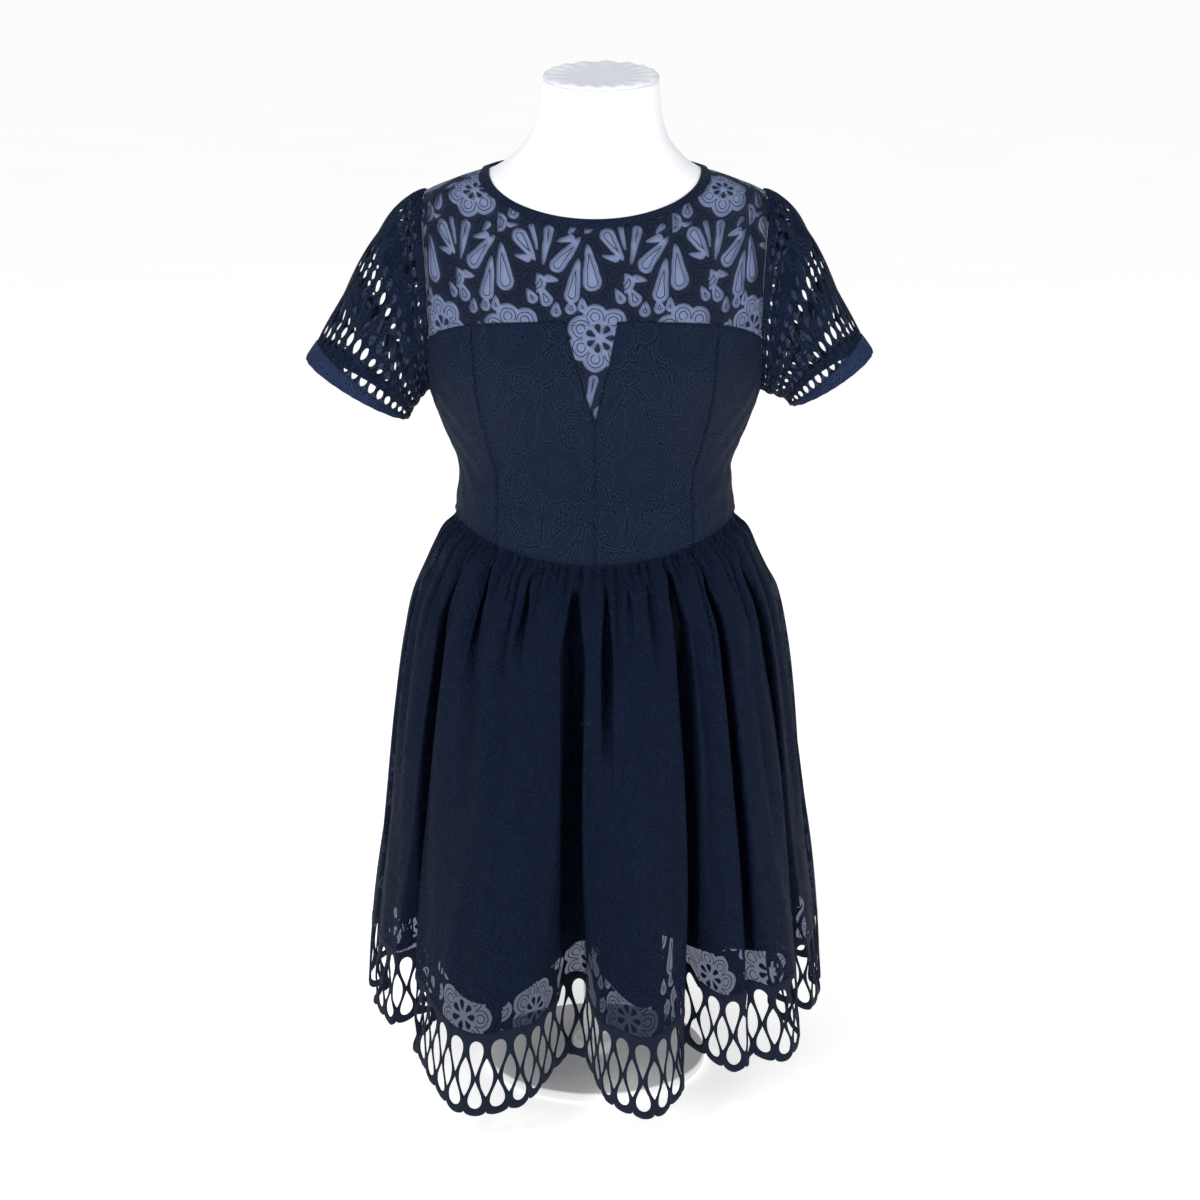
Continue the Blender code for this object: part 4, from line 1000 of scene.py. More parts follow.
CAP_GAP = 0.0003
CAP_RINGS = (  # share of the neck's size, and the rise above its edge
    (1.0, 0.0),
    (1.012, 0.001),
    (1.004, 0.0024),
    (0.985, 0.0036),
    (0.955, 0.0042),
    (0.90, 0.0041),
    (0.80, 0.0036),
    (0.66, 0.0032),
    (0.5, 0.0030),
    (0.34, 0.0030),
    (0.18, 0.0031),
    (0.08, 0.0032),
)
FORM_ROWS, FORM_LEVEL = 150, 1.008  # its level rings, and the height of the last
FOOT_ROUNDING = 0.006
FORM_FOOT = ((0.030, 0.0), (0.0125, 0.0), (0.0095, 0.0012), (0.0080, 0.0042))  # inset and rise
FORM_NECK = (  # height, and share of the neck's tilt
    (1.014, 0.12),
    (1.020, 0.35),
    (1.025, 0.55),
    (1.030, 0.70),
    (1.036, 0.85),
)
NECK_INSET, NECK_ROUNDING, NECK_BEVEL = 0.0024, 0.0008, 0.0012


class DRESS_OT_form(bpy.types.Operator):
    """Jersey-covered form and the puckered cap on its neck"""

    bl_idname = "dress.form"
    bl_label = "Dress form"

    def execute(self, context):
        stand = context.scene.dress_stand
        jersey = jersey_material("cotton jersey", (stand.cover, stand.cover_shade))
        turns = np.linspace(0, 2 * PI, 144, endpoint=False)
        count = len(turns)
        rows = []

        def ring(height, out, tilt=0.0, level=None):
            place = body_place(turns, np.full_like(turns, height), np.full_like(turns, out))
            place[:, 0] += NECK_LEAN * eased(height, NECK_FRONT, NECK_TOP)
            place[:, 2] = (height if level is None else level) + tilt * place[:, 1]
            return place

        bottom = TORSO_BOTTOM + FOOT_ROUNDING
        for inset, rise in FORM_FOOT:
            rows.append(ring(bottom, -inset, level=TORSO_BOTTOM + rise))
        for height in np.linspace(bottom, FORM_LEVEL, FORM_ROWS):
            rows.append(ring(height, -along(EASES, height)[0]))
        for height, tilt in FORM_NECK:
            rows.append(ring(height, -along(EASES, height)[0], NECK_TILT * tilt))
        rows.append(ring(NECK_TOP - NECK_ROUNDING, -NECK_INSET, NECK_TILT))
        rows.append(ring(NECK_TOP, -NECK_INSET - NECK_BEVEL, NECK_TILT))
        form = add_object("form_cover", np.array(rows), lidded_faces(len(rows), count), material=jersey)
        place_piece(form, "form_torso")

        neck = ring(NECK_TOP, -NECK_INSET)
        rows = []
        for shrink, rise in CAP_RINGS:
            row = mix(neck.mean(axis=0), neck, shrink)
            pucker = 0.0011 * bell(shrink - 0.86, 0.16) * np.sin(turns * 17 + 1.4 * np.sin(turns * 3))
            row[:, 2] = NECK_TOP + CAP_GAP + rise + pucker + NECK_TILT * row[:, 1]
            rows.append(row)
        # The cap's cloth is coloured greyer than the cover's jersey.
        grey_neck_cap_cloth = jersey_material("grey_neck_cap_cloth", (stand.neck_cap, stand.neck_cap_shade))
        cap = add_object("neck_cap", np.array(rows), lidded_faces(len(rows), count), material=grey_neck_cap_cloth)
        place_piece(cap, "form_neck_cap")
        return {"FINISHED"}


SHARP_ANGLE = math.radians(50)
FOOT_HEIGHT, FLANGE_TOP = 0.0103, TORSO_BOTTOM - 0.0003
POLE_RADIUS, FLANGE_RADIUS = 0.0125, 0.045
BASE_RADIUS, BASE_THICKNESS, BASE_EDGE = 0.118, 0.010, 0.002
POLE_PROFILE = (  # in pole radii, and in metres above the base
    (1.9, 0.0),
    (1.9, 0.008),
    (1.82, 0.012),
    (1.6, 0.0145),
    (1.02, 0.018),
    (1.0, 0.0185),
    (1.0, 0.1897),
    (1.12, 0.1903),
    (1.12, 0.2147),
    (1.0, 0.2153),
)
FLANGE_PROFILE = (  # radius, and depth below the form
    (POLE_RADIUS, 0.018),
    (POLE_RADIUS * 1.25, 0.012),
    (POLE_RADIUS * 1.9, 0.0075),
    (FLANGE_RADIUS - 0.0015, 0.006),
    (FLANGE_RADIUS, 0.0045),
    (FLANGE_RADIUS, 0.0),
)


def lathed(name, profile, sides, material):
    """A solid of revolution about the form's axis, from (radius, height) pairs that run up its side."""
    turns = np.linspace(0, 2 * PI, sides, endpoint=False)
    rows = [stacked(radius * np.cos(turns), radius * np.sin(turns), height) for radius, height in profile]
    made = add_object(name, np.array(rows), lidded_faces(len(rows), sides), material=material)
    made.data.set_sharp_from_angle(angle=SHARP_ANGLE)
    return made


def rounded(radius, height, edge, steps=5):
    """(radius, height) pairs round the upper outer edge of a disc."""
    pairs = []
    for k in range(steps + 1):
        a = PI / 2 * k / steps
        pairs.append((radius - edge * (1 - math.cos(a)), height - edge * (1 - math.sin(a))))
    return pairs


BASE_CHAMFER = 0.0008


class DRESS_OT_stand(bpy.types.Operator):
    """Pole, flange and round base"""

    bl_idname = "dress.stand"
    bl_label = "Stand"

    def execute(self, context):
        stand = context.scene.dress_stand
        steel = coated_steel_material(stand)
        profile = [(POLE_RADIUS * wide, FOOT_HEIGHT + up) for wide, up in POLE_PROFILE]
        profile += [(radius, FLANGE_TOP - depth) for radius, depth in FLANGE_PROFILE]
        place_piece(lathed("stand_pole", profile, 64, steel), "form_pole")
        profile = [(BASE_RADIUS - BASE_CHAMFER, 0.0), (BASE_RADIUS, BASE_CHAMFER)]
        profile += rounded(BASE_RADIUS, BASE_THICKNESS, BASE_EDGE)
        place_piece(lathed("stand_base", profile, 128, steel), "form_base")
        return {"FINISHED"}


# Edges of the bodice panels, each a function of the share of the way up from the waist to the yoke.


def side_edge(back):
    def edge(v):
        up = armhole(1 - np.clip(v - 0.5, 0, 0.5) * 2 * (1 - YOKE_ARM), back)
        seam = v < 0.5
        return (
            np.where(seam, PI / 2, up[0]),
            np.where(seam, mix(WAIST_SIDE, UNDERARM, np.clip(v * 2, 0, 1)), up[1]),
        )

    return edge


def princess_edge(v):
    turn = princess(mix(WAIST_FRONT, YOKE_FRONT, v))
    for _ in range(6):
        height = mix(waist_line(turn), yoke_line(turn), v)
        turn = princess(height)
    return turn, height


def point_turn(half_width, height):
    return turn_of(half_width, YOKE_FRONT) * (height - POINT_HEIGHT) / (YOKE_FRONT - POINT_HEIGHT)


def point_edge(half_width):
    def edge(v):
        rise = mix(POINT_HEIGHT, YOKE_FRONT, np.clip(v * 2 - 1, 0, 1))
        seam = v < 0.5
        height = np.where(seam, mix(WAIST_FRONT, POINT_HEIGHT, np.clip(v * 2, 0, 1)), rise)
        return np.where(seam, 0.0, point_turn(half_width, rise)), height

    return edge


def centre_back_edge(v):
    return np.full_like(v, PI), mix(WAIST_BACK, YOKE_BACK, v)


def mirrored(edge, whole=0.0):
    def other(v):
        turn, height = edge(v)
        return whole - turn, height

    return other


PANEL_ROWS = 130
TURNED_IN = 0.003  # cloth that a panel turns in at each edge
DRAG_WAIST, DRAG_FAN = 0.0006, 0.0011


def nearest_turn(turn):
    """The same turns, counted from the front the other way round where that is shorter."""
    return turn - (2 * PI if turn.mean() > PI else 0)


def run_along(points, axis):
    """Metres from the first row or column of points to each of them."""
    steps = np.linalg.norm(np.diff(points, axis=axis), axis=-1)
    return np.concatenate([np.zeros_like(np.take(steps, [0], axis)), np.cumsum(steps, axis=axis)], axis=axis)


class DRESS_OT_bodice(bpy.types.Operator):
    """Six lined panels between the waist and the yoke"""

    bl_idname = "dress.bodice"
    bl_label = "Bodice"

    def execute(self, context):
        shape = context.scene.dress_shape
        material = bpy.data.materials["lined embroidered organza"]
        side, behind = side_edge(False), side_edge(True)
        to_left, to_right = point_edge(POINT_LEFT), point_edge(POINT_RIGHT)
        panels = (
            ("front_centre_left", mirrored(princess_edge), mirrored(to_left), 64),
            ("front_centre_right", to_right, princess_edge, 64),
            ("front_side_left", mirrored(side), mirrored(princess_edge), 56),
            ("front_side_right", princess_edge, side, 56),
            ("back_right", behind, centre_back_edge, 84),
            ("back_left", centre_back_edge, mirrored(behind, 2 * PI), 84),
        )
        for name, left, right, columns in panels:
            self.panel(name, left, right, columns, material, shape.seam_depth)
        return {"FINISHED"}

    def panel(self, name, left, right, columns, material, seam_depth):
        v = np.linspace(0, 1, PANEL_ROWS)[:, None]
        s = np.linspace(0, 1, columns)[None, :]

        def climb(turn, height):
            return (height - waist_line(turn)) / (yoke_line(turn) - waist_line(turn))

        (turn_a, height_a), (turn_b, height_b) = left(v), right(v)
        turn = mix(turn_a, turn_b, s)
        low, high = waist_line(turn), yoke_line(turn)
        height = mix(low, high, mix(climb(turn_a, height_a), climb(turn_b, height_b), s))
        flat = body_surface(turn, height)
        run = run_along(flat, 1)
        to_side = np.minimum(run, run[:, -1:] - run)
        to_end = np.minimum(height - low, high - height)
        out = CLOTH + pressed(to_side, seam_depth) + pressed(to_end, seam_depth)
        out = out + self.drag(turn, height)
        points = body_place(turn, height, out)
        places = cloth_on_body(nearest_turn(turn), height)
        made = grid_object("bodice_" + name, points, places, material)
        flat = (float(run[:, -1].max()) + 2 * TURNED_IN, float(np.ptp(height)) + 2 * TURNED_IN)
        place_piece(made, name, flat=flat)

    @staticmethod
    def drag(turn, height):
        """Soft drag lines: across the waist, and fanning from the underarms."""
        waist = bell(height - 0.635, 0.035) * np.sin(height * 210 + 2.5 * np.sin(turn * 3))
        side = bell(np.abs(np.sin(turn)) - 1.0, 0.22) * bell(height - 0.70, 0.07)
        fan = side * np.sin(height * 150 + np.abs(np.cos(turn)) * 26)
        return DRAG_WAIST * waist + DRAG_FAN * fan


YOKE_ROWS, ARM_COLUMNS = 64, 36
# Where the yoke's outer corners lead to along the neckline: the armhole's, and the tip of the V.
FRONT_CORNER, POINT_CORNER, BACK_CORNER = math.radians(62), math.radians(12), math.radians(118)
BINDING_SECTION = (  # metres down from the neck's edge, and out from the form's side of the cloth
    (0.0022, 0.0000),
    (0.0004, 0.0002),
    (-0.0003, 0.0012),
    (0.0004, 0.0022),
    (0.0020, 0.0027),
    (0.0046, 0.0028),
    (0.0070, 0.0026),
    (0.0086, 0.0020),
    (0.0090, 0.0010),
    (0.0080, 0.0002),
)
BINDING_CUT, CUFF_CUT = 0.0115, 0.0190  # widths of the flat strips


class DRESS_OT_yoke(bpy.types.Operator):
    """Sheer yoke in three pieces, and the binding round the neck"""

    bl_idname = "dress.yoke"
    bl_label = "Yoke and binding"

    def execute(self, context):
        shape = context.scene.dress_shape
        sheer = bpy.data.materials["sheer embroidered organza"]
        seam = float(princess(float(yoke_line(0.68))))
        arm = np.linspace(0, YOKE_ARM, ARM_COLUMNS)

        def half(half_width):
            """Half of the front yoke's outer edge, from the shoulder to the tip of the V."""
            top = float(turn_of(half_width, YOKE_FRONT))
            corner = float(armhole(YOKE_ARM)[0])
            line = np.concatenate([np.linspace(corner, seam, 30)[:-1], np.linspace(seam, top, 50)])
            height = np.linspace(YOKE_FRONT, POINT_HEIGHT, 40)[1:]
            turns = np.concatenate([armhole(arm)[0][:-1], line, point_turn(half_width, height)])
            heights = np.concatenate([armhole(arm)[1][:-1], yoke_line(line), height])
            down_arm = np.linspace(PI / 2, FRONT_CORNER, ARM_COLUMNS)[:-1]
            along_line = np.linspace(FRONT_CORNER, POINT_CORNER, len(line))
            down_point = np.linspace(POINT_CORNER, 0, len(height) + 1)[1:]
            return turns, heights, np.concatenate([down_arm, along_line, down_point])

        left, right = half(POINT_LEFT), half(POINT_RIGHT)
        turns = np.concatenate([-left[0], right[0][-2::-1]])
        heights = np.concatenate([left[1], right[1][-2::-1]])
        angles = np.concatenate([-left[2], right[2][-2::-1]])
        self.yoke("yoke_front", turns, heights, angles, sheer, shape.seam_depth)
        corner = float(armhole(YOKE_ARM, True)[0])
        line = np.linspace(corner, PI, 70)
        turns = np.concatenate([armhole(arm, True)[0][:-1], line])
        heights = np.concatenate([armhole(arm, True)[1][:-1], yoke_line(line)])
        down_arm = np.linspace(PI / 2, BACK_CORNER, ARM_COLUMNS)[:-1]
        angles = np.concatenate([down_arm, np.linspace(BACK_CORNER, PI, len(line))])
        self.yoke("yoke_back_right", turns, heights, angles, sheer, shape.seam_depth)
        turns, heights, angles = 2 * PI - turns[::-1], heights[::-1], 2 * PI - angles[::-1]
        self.yoke("yoke_back_left", turns, heights, angles, sheer, shape.seam_depth)
        self.binding(bpy.data.materials["lined embroidered organza"])
        return {"FINISHED"}

    def yoke(self, name, turns, heights, angles, material, seam_depth):
        start_turn, start_height = neckline(angles, BINDING)
        v = (np.linspace(0, 1, YOKE_ROWS)[:, None]) ** 0.9
        turn = mix(start_turn[None, :], turns[None, :], v)
        height = mix(start_height[None, :], heights[None, :], v)
        flat = body_surface(turn, height)
        run = run_along(flat, 0)
        out = CLOTH + pressed(run[-1:] - run, seam_depth * 0.7)
        points = body_place(turn, height, out)[::-1]
        places = cloth_on_body(nearest_turn(turn), height)[::-1]
        made = grid_object("organza_" + name, points, places, material)
        flat = (float(np.ptp(places[..., 0])), float(np.ptp(places[..., 1])))
        place_piece(made, name, flat=flat)

    def binding(self, material):
        """A folded bias strip, closed all round its thickness, and open at the centre back."""
        last = PI - 0.002
        angles = np.linspace(-last, last, 300)
        rows, places = [], []
        for fall, out in BINDING_SECTION:
            turn, height = neckline(angles, fall)
            # Small puckers where the bias is drawn in.
            pucker = 0.00022 * np.sin(angles * 61 + 2 * np.sin(angles * 7)) * bell(fall - 0.006, 0.004)
            rows.append(body_place(turn, height, out + pucker))
            places.append(stacked(angles * 0.095, fall * 1.2 + out, 0.0))
        count = len(angles)
        loop = len(rows)
        faces = grid_faces(loop, count, flip=True)
        last_row = (loop - 1) * count
        faces += [(last_row + c, last_row + c + 1, c + 1, c) for c in range(count - 1)]
        faces.append(tuple(r * count for r in range(loop)))
        faces.append(tuple(r * count + count - 1 for r in reversed(range(loop))))
        made = closed(add_object("bias_neck_binding", np.array(rows), faces, np.array(places), material))
        length = float(run_along(rows[5], 0)[-1])
        place_piece(
            made, "neck_binding", flat=(length, BINDING_CUT),
            layers=2,
        )


# ---------------------------------------------------------------- sleeves


# How strongly the sleeve sets off sideways from the armhole and arrives along the arm, under it and on top.
LEAVE, ARRIVE = (0.030, 0.125), (0.045, 0.190)
LEAVE_FORWARD, LEAVE_DOWN = 0.020, 0.030
ARMHOLE_MIDDLE = (0.170, 0, 0.835)  # on the +X side
SLEEVE_OUT = CLOTH + 0.0005  # from the form's side of the bodice's cloth to the sleeve


def sleeve_surface(side, cuff_outer, cuff_inner, half_depth):
    """surface(angle, share): angle 0 at the shoulder, pi / 2 in front, share 0 at the armhole."""
    outer, inner = np.array(cuff_outer), np.array(cuff_inner)
    centre, up = (outer + inner) / 2, (outer - inner) / 2
    fore, away = np.array([0, -half_depth, 0]), np.array([side, 0, 0])
    along_arm = unit(centre - np.array(ARMHOLE_MIDDLE) * (side, 1, 1))

    def surface(angle, share):
        angle, share = np.broadcast_arrays(np.asarray(angle, float) % (2 * PI), np.asarray(share, float))
        back = angle > PI
        step = np.where(back, 2 * PI - angle, angle) / PI
        turn, height = armhole(step, back, SLEEVE_LAP)
        start = body_place(turn, height, SLEEVE_OUT) * (side, 1, 1)
        top, ahead = np.cos(angle)[..., None], np.sin(angle)[..., None]
        end = centre + up * top + fore * ahead
        high = (1 + top) / 2
        leave = away * mix(*LEAVE, high)
        leave = leave + np.concatenate(
            [0 * top, -LEAVE_FORWARD * ahead, mix(-LEAVE_DOWN, 0.0, high)], axis=-1
        )
        arrive = along_arm * mix(*ARRIVE, high)
        t = share[..., None]
        return (
            start * (2 * t**3 - 3 * t**2 + 1)
            + leave * (t**3 - 2 * t**2 + t)
            + end * (3 * t**2 - 2 * t**3)
            + arrive * (t**3 - t**2)
        )

    return surface


def outside(surface, side, angle, down):
    """Points of a sleeve and its outward normals."""
    across = surface(angle + 2e-3, down) - surface(angle - 2e-3, down)
    along_it = surface(angle, down + 1e-3) - surface(angle, down - 1e-3)
    return surface(angle, down), unit(np.cross(across, along_it)) * -side


SLIT_BANDS = (  # start and end, as shares of the sleeve, and the share of the full slit width
    (0.085, 0.130, 0.75),
    (0.150, 0.200, 0.85),
    (0.390, 0.465, 0.85),
    (0.475, 0.560, 0.95),
    (0.670, 0.772, 1.0),
    (0.782, 0.885, 1.0),
)
SLIT_STEPS, PLAIN_STEP = 8, 0.02  # rows of a slit, and share of the sleeve between plain rows
LAST_STEPS, UNDER_CUFF = 3, 0.004
SLIT_POINT, SLIT_CLOSED = 0.55, 0.04  # how blunt its ends are, and the gap that its closed sides keep
# Columns of one repeat: the side of its slit that a column follows, or 0, and its place in the repeat.
CELL = ((0, 0.0), (0, 0.12), (-1, 0.5), (0, 0.5), (1, 0.5), (0, 0.88))
SLEEVE_ROUND, SLEEVE_LENGTH = 0.056, 0.19  # metres of cloth for each radian, and down the arm
SLEEVE_PANEL = (0.24, 0.20)
SLEEVE_CLOTH = 0.0010
CUFF_SECTION = (  # share of the way down the sleeve, and metres out from it
    (0.893, -0.0002),
    (0.897, 0.0008),
    (0.910, 0.0012),
    (0.935, 0.0013),
    (0.965, 0.0013),
    (0.985, 0.0012),
    (0.995, 0.0007),
    (0.999, -0.0002),
    (0.996, -0.0011),
    (0.985, -0.0015),
    (0.950, -0.0016),
    (0.910, -0.0016),
    (0.896, -0.0012),
)
CUFF_COLUMNS, CUFF_OUTSIDE = 160, 4  # and the section's row that is the cuff's length


class DRESS_OT_sleeves(bpy.types.Operator):
    """Short sleeves with three openwork bands, and their cuffs"""

    bl_idname = "dress.sleeves"
    bl_label = "Sleeves and cuffs"

    def execute(self, context):
        shape = context.scene.dress_shape
        lace = bpy.data.materials["sleeve embroidered organza"]
        folded = bpy.data.materials["folded embroidered organza"]
        for name, side, *cuff in SLEEVES:
            surface = sleeve_surface(side, *cuff)
            for half, first in (("front", 0.0), ("back", PI)):
                self.half(f"sleeve_{name}_{half}", surface, side, first, shape, lace)
            self.cuff(f"cuff_{name}", surface, side, folded)
        return {"FINISHED"}

    def half(self, name, surface, side, first, shape, material):
        """Cloth with rows of slits, each between two columns that part round it."""
        levels, widths, open_rows = [0.0], [0.0], []
        for start, end, width in SLIT_BANDS:
            plain = max(2, round((start - levels[-1]) / PLAIN_STEP))
            levels += list(np.linspace(levels[-1], start, plain + 1)[1:])
            widths += [0.0] * plain
            for k in range(1, SLIT_STEPS + 1):
                open_rows.append(len(levels) - 1)
                t = k / SLIT_STEPS
                levels.append(mix(start, end, t))
                widths.append(width * shape.slit_share * max(0.0, math.sin(PI * t)) ** SLIT_POINT)
        levels += list(np.linspace(levels[-1], CUFF_START + UNDER_CUFF, LAST_STEPS + 1)[1:])
        widths += [0.0] * LAST_STEPS
        columns = [(parts, cell + at) for cell in range(shape.slits) for parts, at in CELL]
        parts, at = np.array(columns + [(0, shape.slits)]).T
        share = (at + parts * np.maximum(np.array(widths) / 2, SLIT_CLOSED)[:, None]) / shape.slits
        skip = np.zeros((len(levels) - 1, len(columns)), bool)
        for c, (edge, _) in enumerate(columns):
            if edge < 0:
                skip[open_rows, c : c + 2] = True
        angle = first + share * PI
        down = np.array(levels)[:, None] + 0 * share
        points, normals = outside(surface, side, angle, down)
        gather = 0.0011 * bell(down - 0.02, 0.05) * np.sin(angle * 26 + 2 * np.sin(angle * 5))
        soft = 0.0008 * np.sin(down * 21 + 3 * np.sin(angle * 2)) * eased(down, 0.1, 0.3)
        points = points + normals * (gather + soft - 0.0006)[..., None]
        across = angle * SLEEVE_ROUND + (0.013 if side > 0 else 0.031)
        flat = stacked(across, -down * SLEEVE_LENGTH, 0.0)
        faces = grid_faces(*share.shape, flip=side > 0, skip=skip)
        lists = (values.reshape(-1, 3) for values in (points, normals, flat))
        both, places, walls = thickened(*lists, faces, SLEEVE_CLOTH)
        made = closed(add_object("lace_" + name, both, walls, places, material))
        place_piece(
            made, name, flat=SLEEVE_PANEL,
            layers=2,
        )

    def cuff(self, name, surface, side, material):
        """A folded band: up the outside, round the edge, and up again inside."""
        angles = np.linspace(0, 2 * PI, CUFF_COLUMNS, endpoint=False)
        rows, places = [], []
        for share, out in CUFF_SECTION:
            points, normals = outside(surface, side, angles, np.full_like(angles, share))
            pucker = 0.0009 * np.sin(angles * 23 + 2 * np.sin(angles * 4)) * bell(share - 0.97, 0.05)
            rows.append(points + normals * (out - 0.0006 + pucker)[:, None])
            up = (0.03 if out < 0 else 0.0) - share * SLEEVE_LENGTH
            places.append(stacked(angles * SLEEVE_ROUND, up, 0.0))
        count, loop = len(angles), len(rows)
        faces = grid_faces(loop, count, wrap=True, flip=side > 0)
        for c in range(count):
            d = (c + 1) % count
            face = ((loop - 1) * count + c, (loop - 1) * count + d, d, c)
            faces.append(face[::-1] if side > 0 else face)
        made = closed(add_object("folded_" + name, np.array(rows), faces, np.array(places), material))
        length = float(run_along(rows[CUFF_OUTSIDE], 0)[-1])
        place_piece(
            made, name, flat=(length, CUFF_CUT),
        )


# ---------------------------------------------------------------- skirt


LINING_COLUMNS, LINING_ROWS = 540, 72
LINING_REACH = (-0.003, 0.80)  # shares of the way down the skirt
LINING_CUT = 0.79  # share of the skirt's length
LINING_OUT = 0.0007
WAIST_RADIUS = 0.18
BACK_COLUMNS, BACK_ROWS = 0.7, 0.8  # shares of the front's
TOP_TUCK, BORDER_LAP = 0.004, 0.003  # shares of the skirt under the bodice and under the border


class DRESS_OT_lining(bpy.types.Operator):
    """Plain lining of the skirt, with its own wavy hem"""

    bl_idname = "dress.lining"
    bl_label = "Skirt lining"

    def execute(self, context):
        cloth = context.scene.dress_cloth
        material = lining_material(cloth)
        turns = np.linspace(-PI, PI, LINING_COLUMNS, endpoint=False)[None, :]
        down = np.linspace(*LINING_REACH, LINING_ROWS)[:, None]
        turn, down = np.broadcast_arrays(turns, down)
        points = raised(lining_surface, turn, down, LINING_OUT, 0.004, 0.004)
        flat = stacked(turn * WAIST_RADIUS, -down * SKIRT_LENGTH, 0.0)
        made = grid_object("lining_of_skirt", points, flat, material, wrap=True, flip=True)
        flat = (float(run_along(points[-1], 0)[-1]), LINING_CUT * SKIRT_LENGTH)
        place_piece(made, "skirt_lining", flat=flat)
        return {"FINISHED"}


class DRESS_OT_skirt(bpy.types.Operator):
    """Gathered skirt in two halves, sewn at the sides"""

    bl_idname = "dress.skirt"
    bl_label = "Skirt"

    def execute(self, context):
        shape = context.scene.dress_shape
        material = bpy.data.materials["skirt embroidered organza"]
        for half, start, columns, rows in (
            ("front", 0, shape.columns, shape.rows),
            ("back", 1, int(shape.columns * BACK_COLUMNS), int(shape.rows * BACK_ROWS)),
        ):
            share = np.linspace(start, start + 1, columns)[None, :]
            reach = BORDER_SHARE + BORDER_LAP + TOP_TUCK
            down = (np.linspace(0, 1, rows)[:, None]) ** 1.12 * reach - TOP_TUCK
            share, down = np.broadcast_arrays(share, down)
            out = CLOTH + 0.7 * pressed(np.minimum(share - start, start + 1 - share) * 0.7, 0.001)
            points = skirt_place(share, down, out)
            across = (share - start) * HALF_HEMS[start] + start * 0.4
            flat = stacked(across - 0.5 * HALF_HEMS[0], -down * SKIRT_LENGTH, 0.0)
            made = grid_object(f"lace_skirt_{half}", points, flat, material, flip=True)
            size = (HALF_HEMS[start], BORDER_SHARE * SKIRT_LENGTH)
            place_piece(
                made, f"skirt_{half}", flat=size,
            )
        return {"FINISHED"}


# One repeat of the border, in millimetres down from its top and in shares of the pitch across.
# A hole has a round end and a pointed end: (round end, widest, pointed end, half width there).
UPPER_HOLE, LOWER_HOLE = (8, 18, 43, 0.335), (76, 67.5, 48, 0.32)
SPINDLE_TOP, SPINDLE_FOOT, SPINDLE_WIDTH = 25, 64, 0.29
SCALLOP_NOTCH, SCALLOP_DROP = 79.5, 4.5
UPPER_JOIN, LOWER_JOIN = [5.0, 10.0, 15.0, 20.0], [68.0, 72.0, 76.0]
BAR_ROUNDING = 2.4  # how far in from its edge a bar reaches its full height
GRID_LINES, GRID_COLUMNS, GRID_STEP, GRID_CLEAR = 60, 18, 1.4, 0.6
HOLE_STEPS, EDGE_SAMPLES = 19, 6


def hole(pitch, round_end, widest, pointed_end, width):
    """A closed path, one side down and the other side up again."""

    def half_width(y):
        share = (y - widest) / (pointed_end - widest)
        if share > 0:
            return width * (1 - share) * (1 + 0.75 * share * (1 - share))
        share = (y - widest) / (round_end - widest)
        return width * math.sqrt(max(0.0, 1 - share**2.4))

    top, bottom = sorted((round_end, pointed_end))
    depths = (top + bottom) / 2 - (bottom - top) / 2 * np.cos(np.linspace(0, PI, HOLE_STEPS))
    halves = [half_width(y) * pitch if top < y < bottom else 0.0 for y in depths]
    left = [(pitch / 2 - half, y) for half, y in zip(halves, depths)]
    right = [(pitch / 2 + half, y) for half, y in zip(halves, depths)]
    return left + right[-2:0:-1]


def spindle(pitch):
    """The side of the hole that is shared with the repeat before it."""
    path = []
    for y in np.linspace(SPINDLE_TOP, SPINDLE_FOOT, 21):
        arch = max(0.0, math.sin(PI * (y - SPINDLE_TOP) / (SPINDLE_FOOT - SPINDLE_TOP)))
        path.append((pitch * SPINDLE_WIDTH * arch**0.9 if SPINDLE_TOP < y < SPINDLE_FOOT else 0.0, float(y)))
    return path


def is_solid(loops, x, y):
    """Whether a place is in the outline and in no hole, by the edges to one side of it."""
    crossings = 0
    for loop in loops:
        for (ax, ay), (bx, by) in zip(loop, loop[1:] + loop[:1]):
            if (ay > y) != (by > y) and x < ax + (y - ay) / (by - ay) * (bx - ax):
                crossings += 1
    return crossings % 2 == 1


def filled(loops, places):
    """Points and anticlockwise triangles that fill what is solid between the loops, through the places."""
    points, joins = [], []
    for loop in loops:
        joins += [(len(points) + k, len(points) + (k + 1) % len(loop)) for k in range(len(loop))]
        points += loop
    joined = delaunay_2d_cdt([Vector(p) for p in points + places], joins, [], 0, 1e-5)
    flat = np.array([tuple(p) for p in joined[0]])
    faces = []
    for face in joined[2]:
        if is_solid(loops, *flat[list(face)].mean(axis=0)):
            a, b, c = (flat[i] for i in face)
            turn = (b[0] - a[0]) * (c[1] - a[1]) - (b[1] - a[1]) * (c[0] - a[0])
            faces.append(tuple(face) if turn > 0 else tuple(reversed(face)))
    return flat, faces


